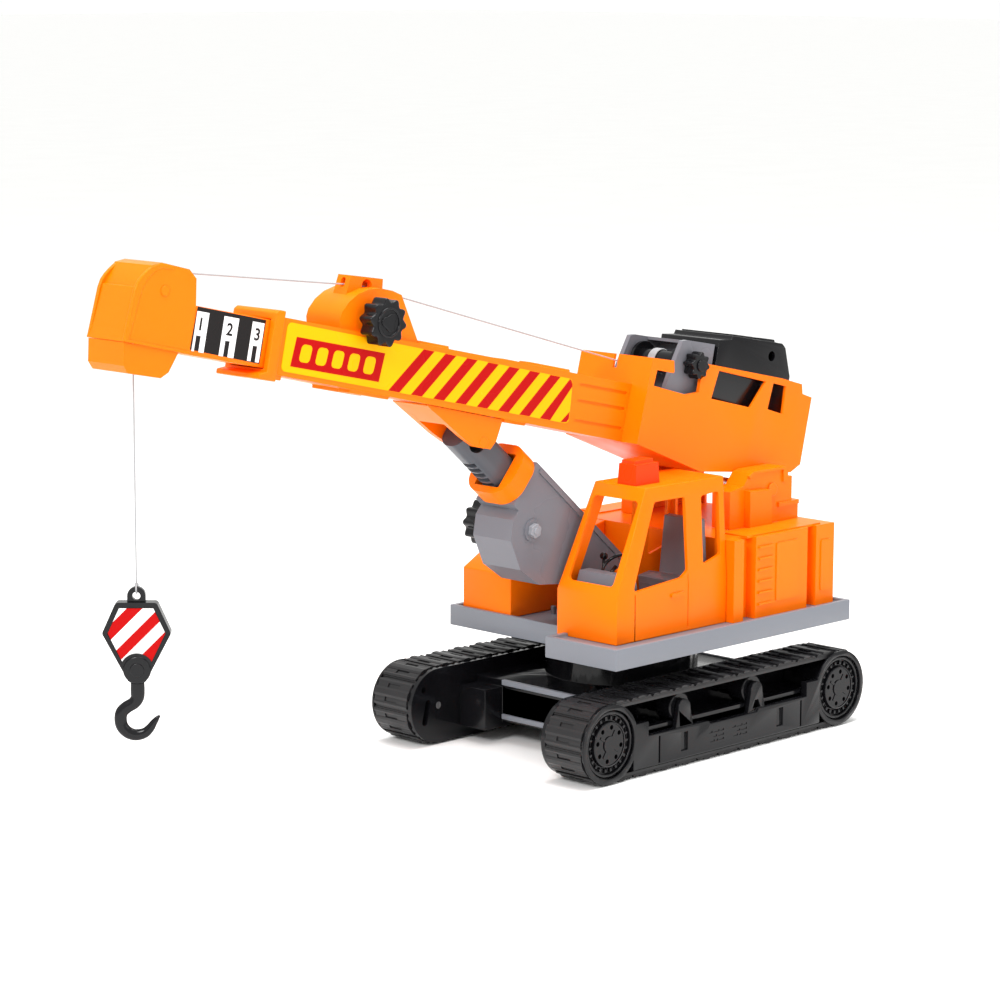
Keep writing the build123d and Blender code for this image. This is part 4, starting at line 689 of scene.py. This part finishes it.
# Caps over the ends of the pins.
for side, tag in SIDES:
    for name, centre, at, radius, face, body in (
            ("boom_pin_cap", PIVOT, ground, 4.0, 42.6, "upperworks"),
            ("rod_pin_cap", (ROD_PIN_S, 0), boom, 3.2, 13.0, "boom"),
            ("sheave_cap", SHEAVE, boom, 2.6, 14.2, "extension")):
        low, high = mirrored(side, face, face + 0.7)
        disc(f"{name}_{tag}", centre, radius, low, high, at, body, ORANGE, "orange_plastic")

# The luffing shaft's bolt, and the three hand knobs.
disc("luff_bolt", LUFF, 3.9, 15.2, 18.2, ram, "luff_drive", PALE_GREY, "mid_grey_plastic", 0.3, 6, 0.25)
disc("luff_bolt_core", LUFF, 2.1, 17.6, 18.9, ram, "luff_drive", PALE_GREY, "mid_grey_plastic", 0.3)
grip = disc("winch_grip", WINCH, 6.9, 22.2, 29.6, boom, "winch", BLACK, "black_plastic", 0.5, 8, 1.1)
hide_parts("winch_knob")
for node, centre, at, face_side, body in (("extend_knob", EXTEND, boom, 1, "extend_drive"),
                                         ("luff_knob", LUFF, ram, -1, "luff_drive")):
    grip_reach, hub_reach = mirrored(face_side, 17.6, 27.3), mirrored(face_side, 26.6, 28.0)
    grip = disc(f"{node}_grip", centre, 11.75, *grip_reach, at, body, BLACK, "black_plastic", 0.8, 10, 1.15)
    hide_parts(node)
    disc(f"{node}_hub", centre, 4.6, *hub_reach, at, body, BLACK, "black_plastic", 0.5, 3, 0.9)
    collar = ring_path(lambda a, b: at(centre[0] + a, face_side * 27.3, centre[1] + b), 7.3, 60)
    dress(tube(f"{node}_ring", collar, 0.0008), BLACK, body)
disc("winch_grip_hub", WINCH, 3.4, 29.2, 30.6, boom, "winch", BLACK, "black_plastic", 0.4)

# The raised lips on the head.
LIP = [(474.0, 20.4), (472.3, 45.2), (471.3, 49.3), (469.6, 52.2), (467.2, 55.2), (464.7, 57.8), (461.6, 59.7),
       (457.6, 61.0), (450.0, 60.95), (450.0, 58.6), (457.6, 58.4), (461.0, 56.5), (464.6, 52.6), (467.4, 47.0),
       (468.4, 42.0), (471.2, 20.4)]
for side, tag in SIDES:
    low, high = mirrored(side, 12.6, 14.6)
    prism(f"head_lip_{tag}", LIP, low, high, boom, "extension", ORANGE, 0.45, "orange_plastic")
    low, high = mirrored(side, 14.0, 14.9)
    prism(f"head_rim_{tag}", [(432.2, 19.4), (473.9, 20.0), (473.7, 21.4), (432.2, 20.9)], low, high, boom,
          "extension", ORANGE, 0.3, "orange_plastic")
prism("head_brow", [(473.6, 22.0), (470.9, 47.4), (467.0, 47.6), (468.0, 22.0)], -12.8, 12.8, boom, "extension",
      ORANGE, 0.5, "orange_plastic")


# ---- tracks --------------------------------------------------------------------------
STRAIGHT = 198.0
PITCH_R = 22.0
LOOP = 2 * STRAIGHT + tau * PITCH_R
PADS = 30


def belt_point(u, r, y):
    """A point on the track: u along the pitch line from the front of the top run, r from the wheel centre."""
    u %= LOOP
    bend = pi * PITCH_R
    if u < bend:
        a = u / PITCH_R
        return ground(STRAIGHT / 2 + r * sin(a), y, WHEEL_Z + r * cos(a))
    if u < bend + STRAIGHT:
        return ground(STRAIGHT / 2 - (u - bend), y, WHEEL_Z - r)
    if u < 2 * bend + STRAIGHT:
        a = (u - bend - STRAIGHT) / PITCH_R
        return ground(-STRAIGHT / 2 - r * sin(a), y, WHEEL_Z - r * cos(a))
    return ground(-STRAIGHT / 2 + (u - 2 * bend - STRAIGHT), y, WHEEL_Z + r)


# Every pad's ribs: where each starts and ends along the belt, its two radii, and its taper.
PAD_RIBS = ((-8.3, 8.3, 20.5, 21.5, 0.3), (-2.7, 2.7, 21.3, 22.8, 0.5),
            (-7.6, -5.2, 21.3, 22.4, 0.4), (5.2, 7.6, 21.3, 22.4, 0.4))


def belt_box(points, faces, u0, u1, r0, r1, y0, y1, taper=0.0, closed=False):
    """Adds a box that follows the track, or with closed a band all the way round."""
    steps = max(2, round((u1 - u0) / 1.3))
    start = len(points)
    for k in range(steps if closed else steps + 1):
        u = u0 + (u1 - u0) * k / steps
        edge = taper if k in (0, steps) and not closed else 0.0
        for r, y in ((r0, y0), (r0, y1), (r1 - edge, y1), (r1 - edge, y0)):
            points.append(belt_point(u, r, y))
    count = steps if closed else steps + 1
    for k in range(steps):
        a, b = start + 4 * k, start + 4 * ((k + 1) % count)
        faces += [(a + i, a + (i + 1) % 4, b + (i + 1) % 4, b + i) for i in range(4)]
    if not closed:
        faces += [(start + 3, start + 2, start + 1, start),
                  tuple(start + 4 * steps + i for i in range(4))]


for side, tag in SIDES:
    points, faces = [], []
    y0, y1 = mirrored(side, 54.0, 80.6)
    belt_box(points, faces, 0, LOOP, 18.8, 20.7, y0, y1, closed=True)
    for k in range(PADS):
        u = LOOP * (k + 0.5) / PADS
        for low, high, r0, r1, taper in PAD_RIBS:
            belt_box(points, faces, u + low, u + high, r0, r1, y0, y1, taper)
        for low, high in ((-5.4, -2.5), (2.5, 5.4)):
            belt_box(points, faces, u + low, u + high, 21.3, 22.1, y0 + 0.4, y0 + 8.5)
            belt_box(points, faces, u + low, u + high, 21.3, 22.1, y1 - 8.5, y1 - 0.4)
    belt = new_mesh(f"belt_{tag}", points, faces)
    face_outwards(belt)
    dress(belt, RUBBER, "undercarriage")
    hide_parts(f"track_belt_{tag}")
    for end, x in (("front", 36.9), ("rear", -25.3)):
        disc(f"{end}_roller_flange_{tag}", (x, 33.0), 8.3, *mirrored(side, 66.0, 77.2), ground,
             f"{end}_roller_{tag}", BLACK, "black_plastic", 0.8)


# ---- the cab's controls --------------------------------------------------------------
def control(name, path, radius):
    dress(tube(name, path, radius), BLACK, "upperworks")


control("steering_wheel", ring_path(lambda a, b: ground(50.2 - 0.75 * b, 40.5 + a, 109.0 + 0.66 * b), 8.2),
        0.0009)
control("steering_column", [ground(57.0, 40.5, 103.5), ground(50.2, 40.5, 109.0)], 0.0011)
for k, y in enumerate((29.5, 52.5)):
    control(f"lever_{k}", [ground(50.0, y, 98.0), ground(48.6, y, 106.0), ground(48.2, y, 112.0)], 0.0008)
    prism(f"lever_knob_{k}", circle((48.2, 113.2), 1.9, 20), y - 1.7, y + 1.7, ground, "upperworks", BLACK,
          0.6, "black_plastic")

# ---- floor and light -----------------------------------------------------------------
floor = new_mesh("floor", [(-20, -20, 0), (20, -20, 0), (20, 20, 0), (-20, 20, 0)], [(0, 1, 2, 3)])
floor_material = plastic("floor_paper", (0.97, 0.97, 0.968), 0.6, 0.75, 0.01, 0.02)
floor.data.materials.append(floor_material)

world = bpy.data.worlds.new("studio")
bpy.context.scene.world = world
world.use_nodes = True
world.node_tree.nodes["Background"].inputs["Color"].default_value = (1.0, 1.0, 0.985, 1)
world.node_tree.nodes["Background"].inputs["Strength"].default_value = 1.02
bpy.context.scene.view_settings.view_transform = "Standard"


def area_light(name, place, target, size, power):
    data = bpy.data.lights.new(name, "AREA")
    data.shape = "RECTANGLE"
    data.size, data.size_y = size
    data.energy = power
    lamp = bpy.data.objects.new(name, data)
    bpy.context.scene.collection.objects.link(lamp)
    lamp.location = place
    lamp.rotation_euler = (Vector(target) - Vector(place)).to_track_quat("-Z", "Y").to_euler()


area_light("overhead", (-0.1, 0.1, 1.5), (0, 0, 0.1), (0.9, 0.9), 22)
area_light("key", (1.4, 0.5, 1.2), (0, 0, 0.15), (0.45, 0.45), 15)
area_light("fill", (-0.1, 1.6, 0.8), (0, 0, 0.15), (0.5, 0.8), 3)

# ---- carried-over nodes --------------------------------------------------------------
for node, slot_name in SLOT_OF.items():
    nodes[node].data.materials.clear()
    nodes[node].data.materials.append(MATERIAL_OF[slot_name])
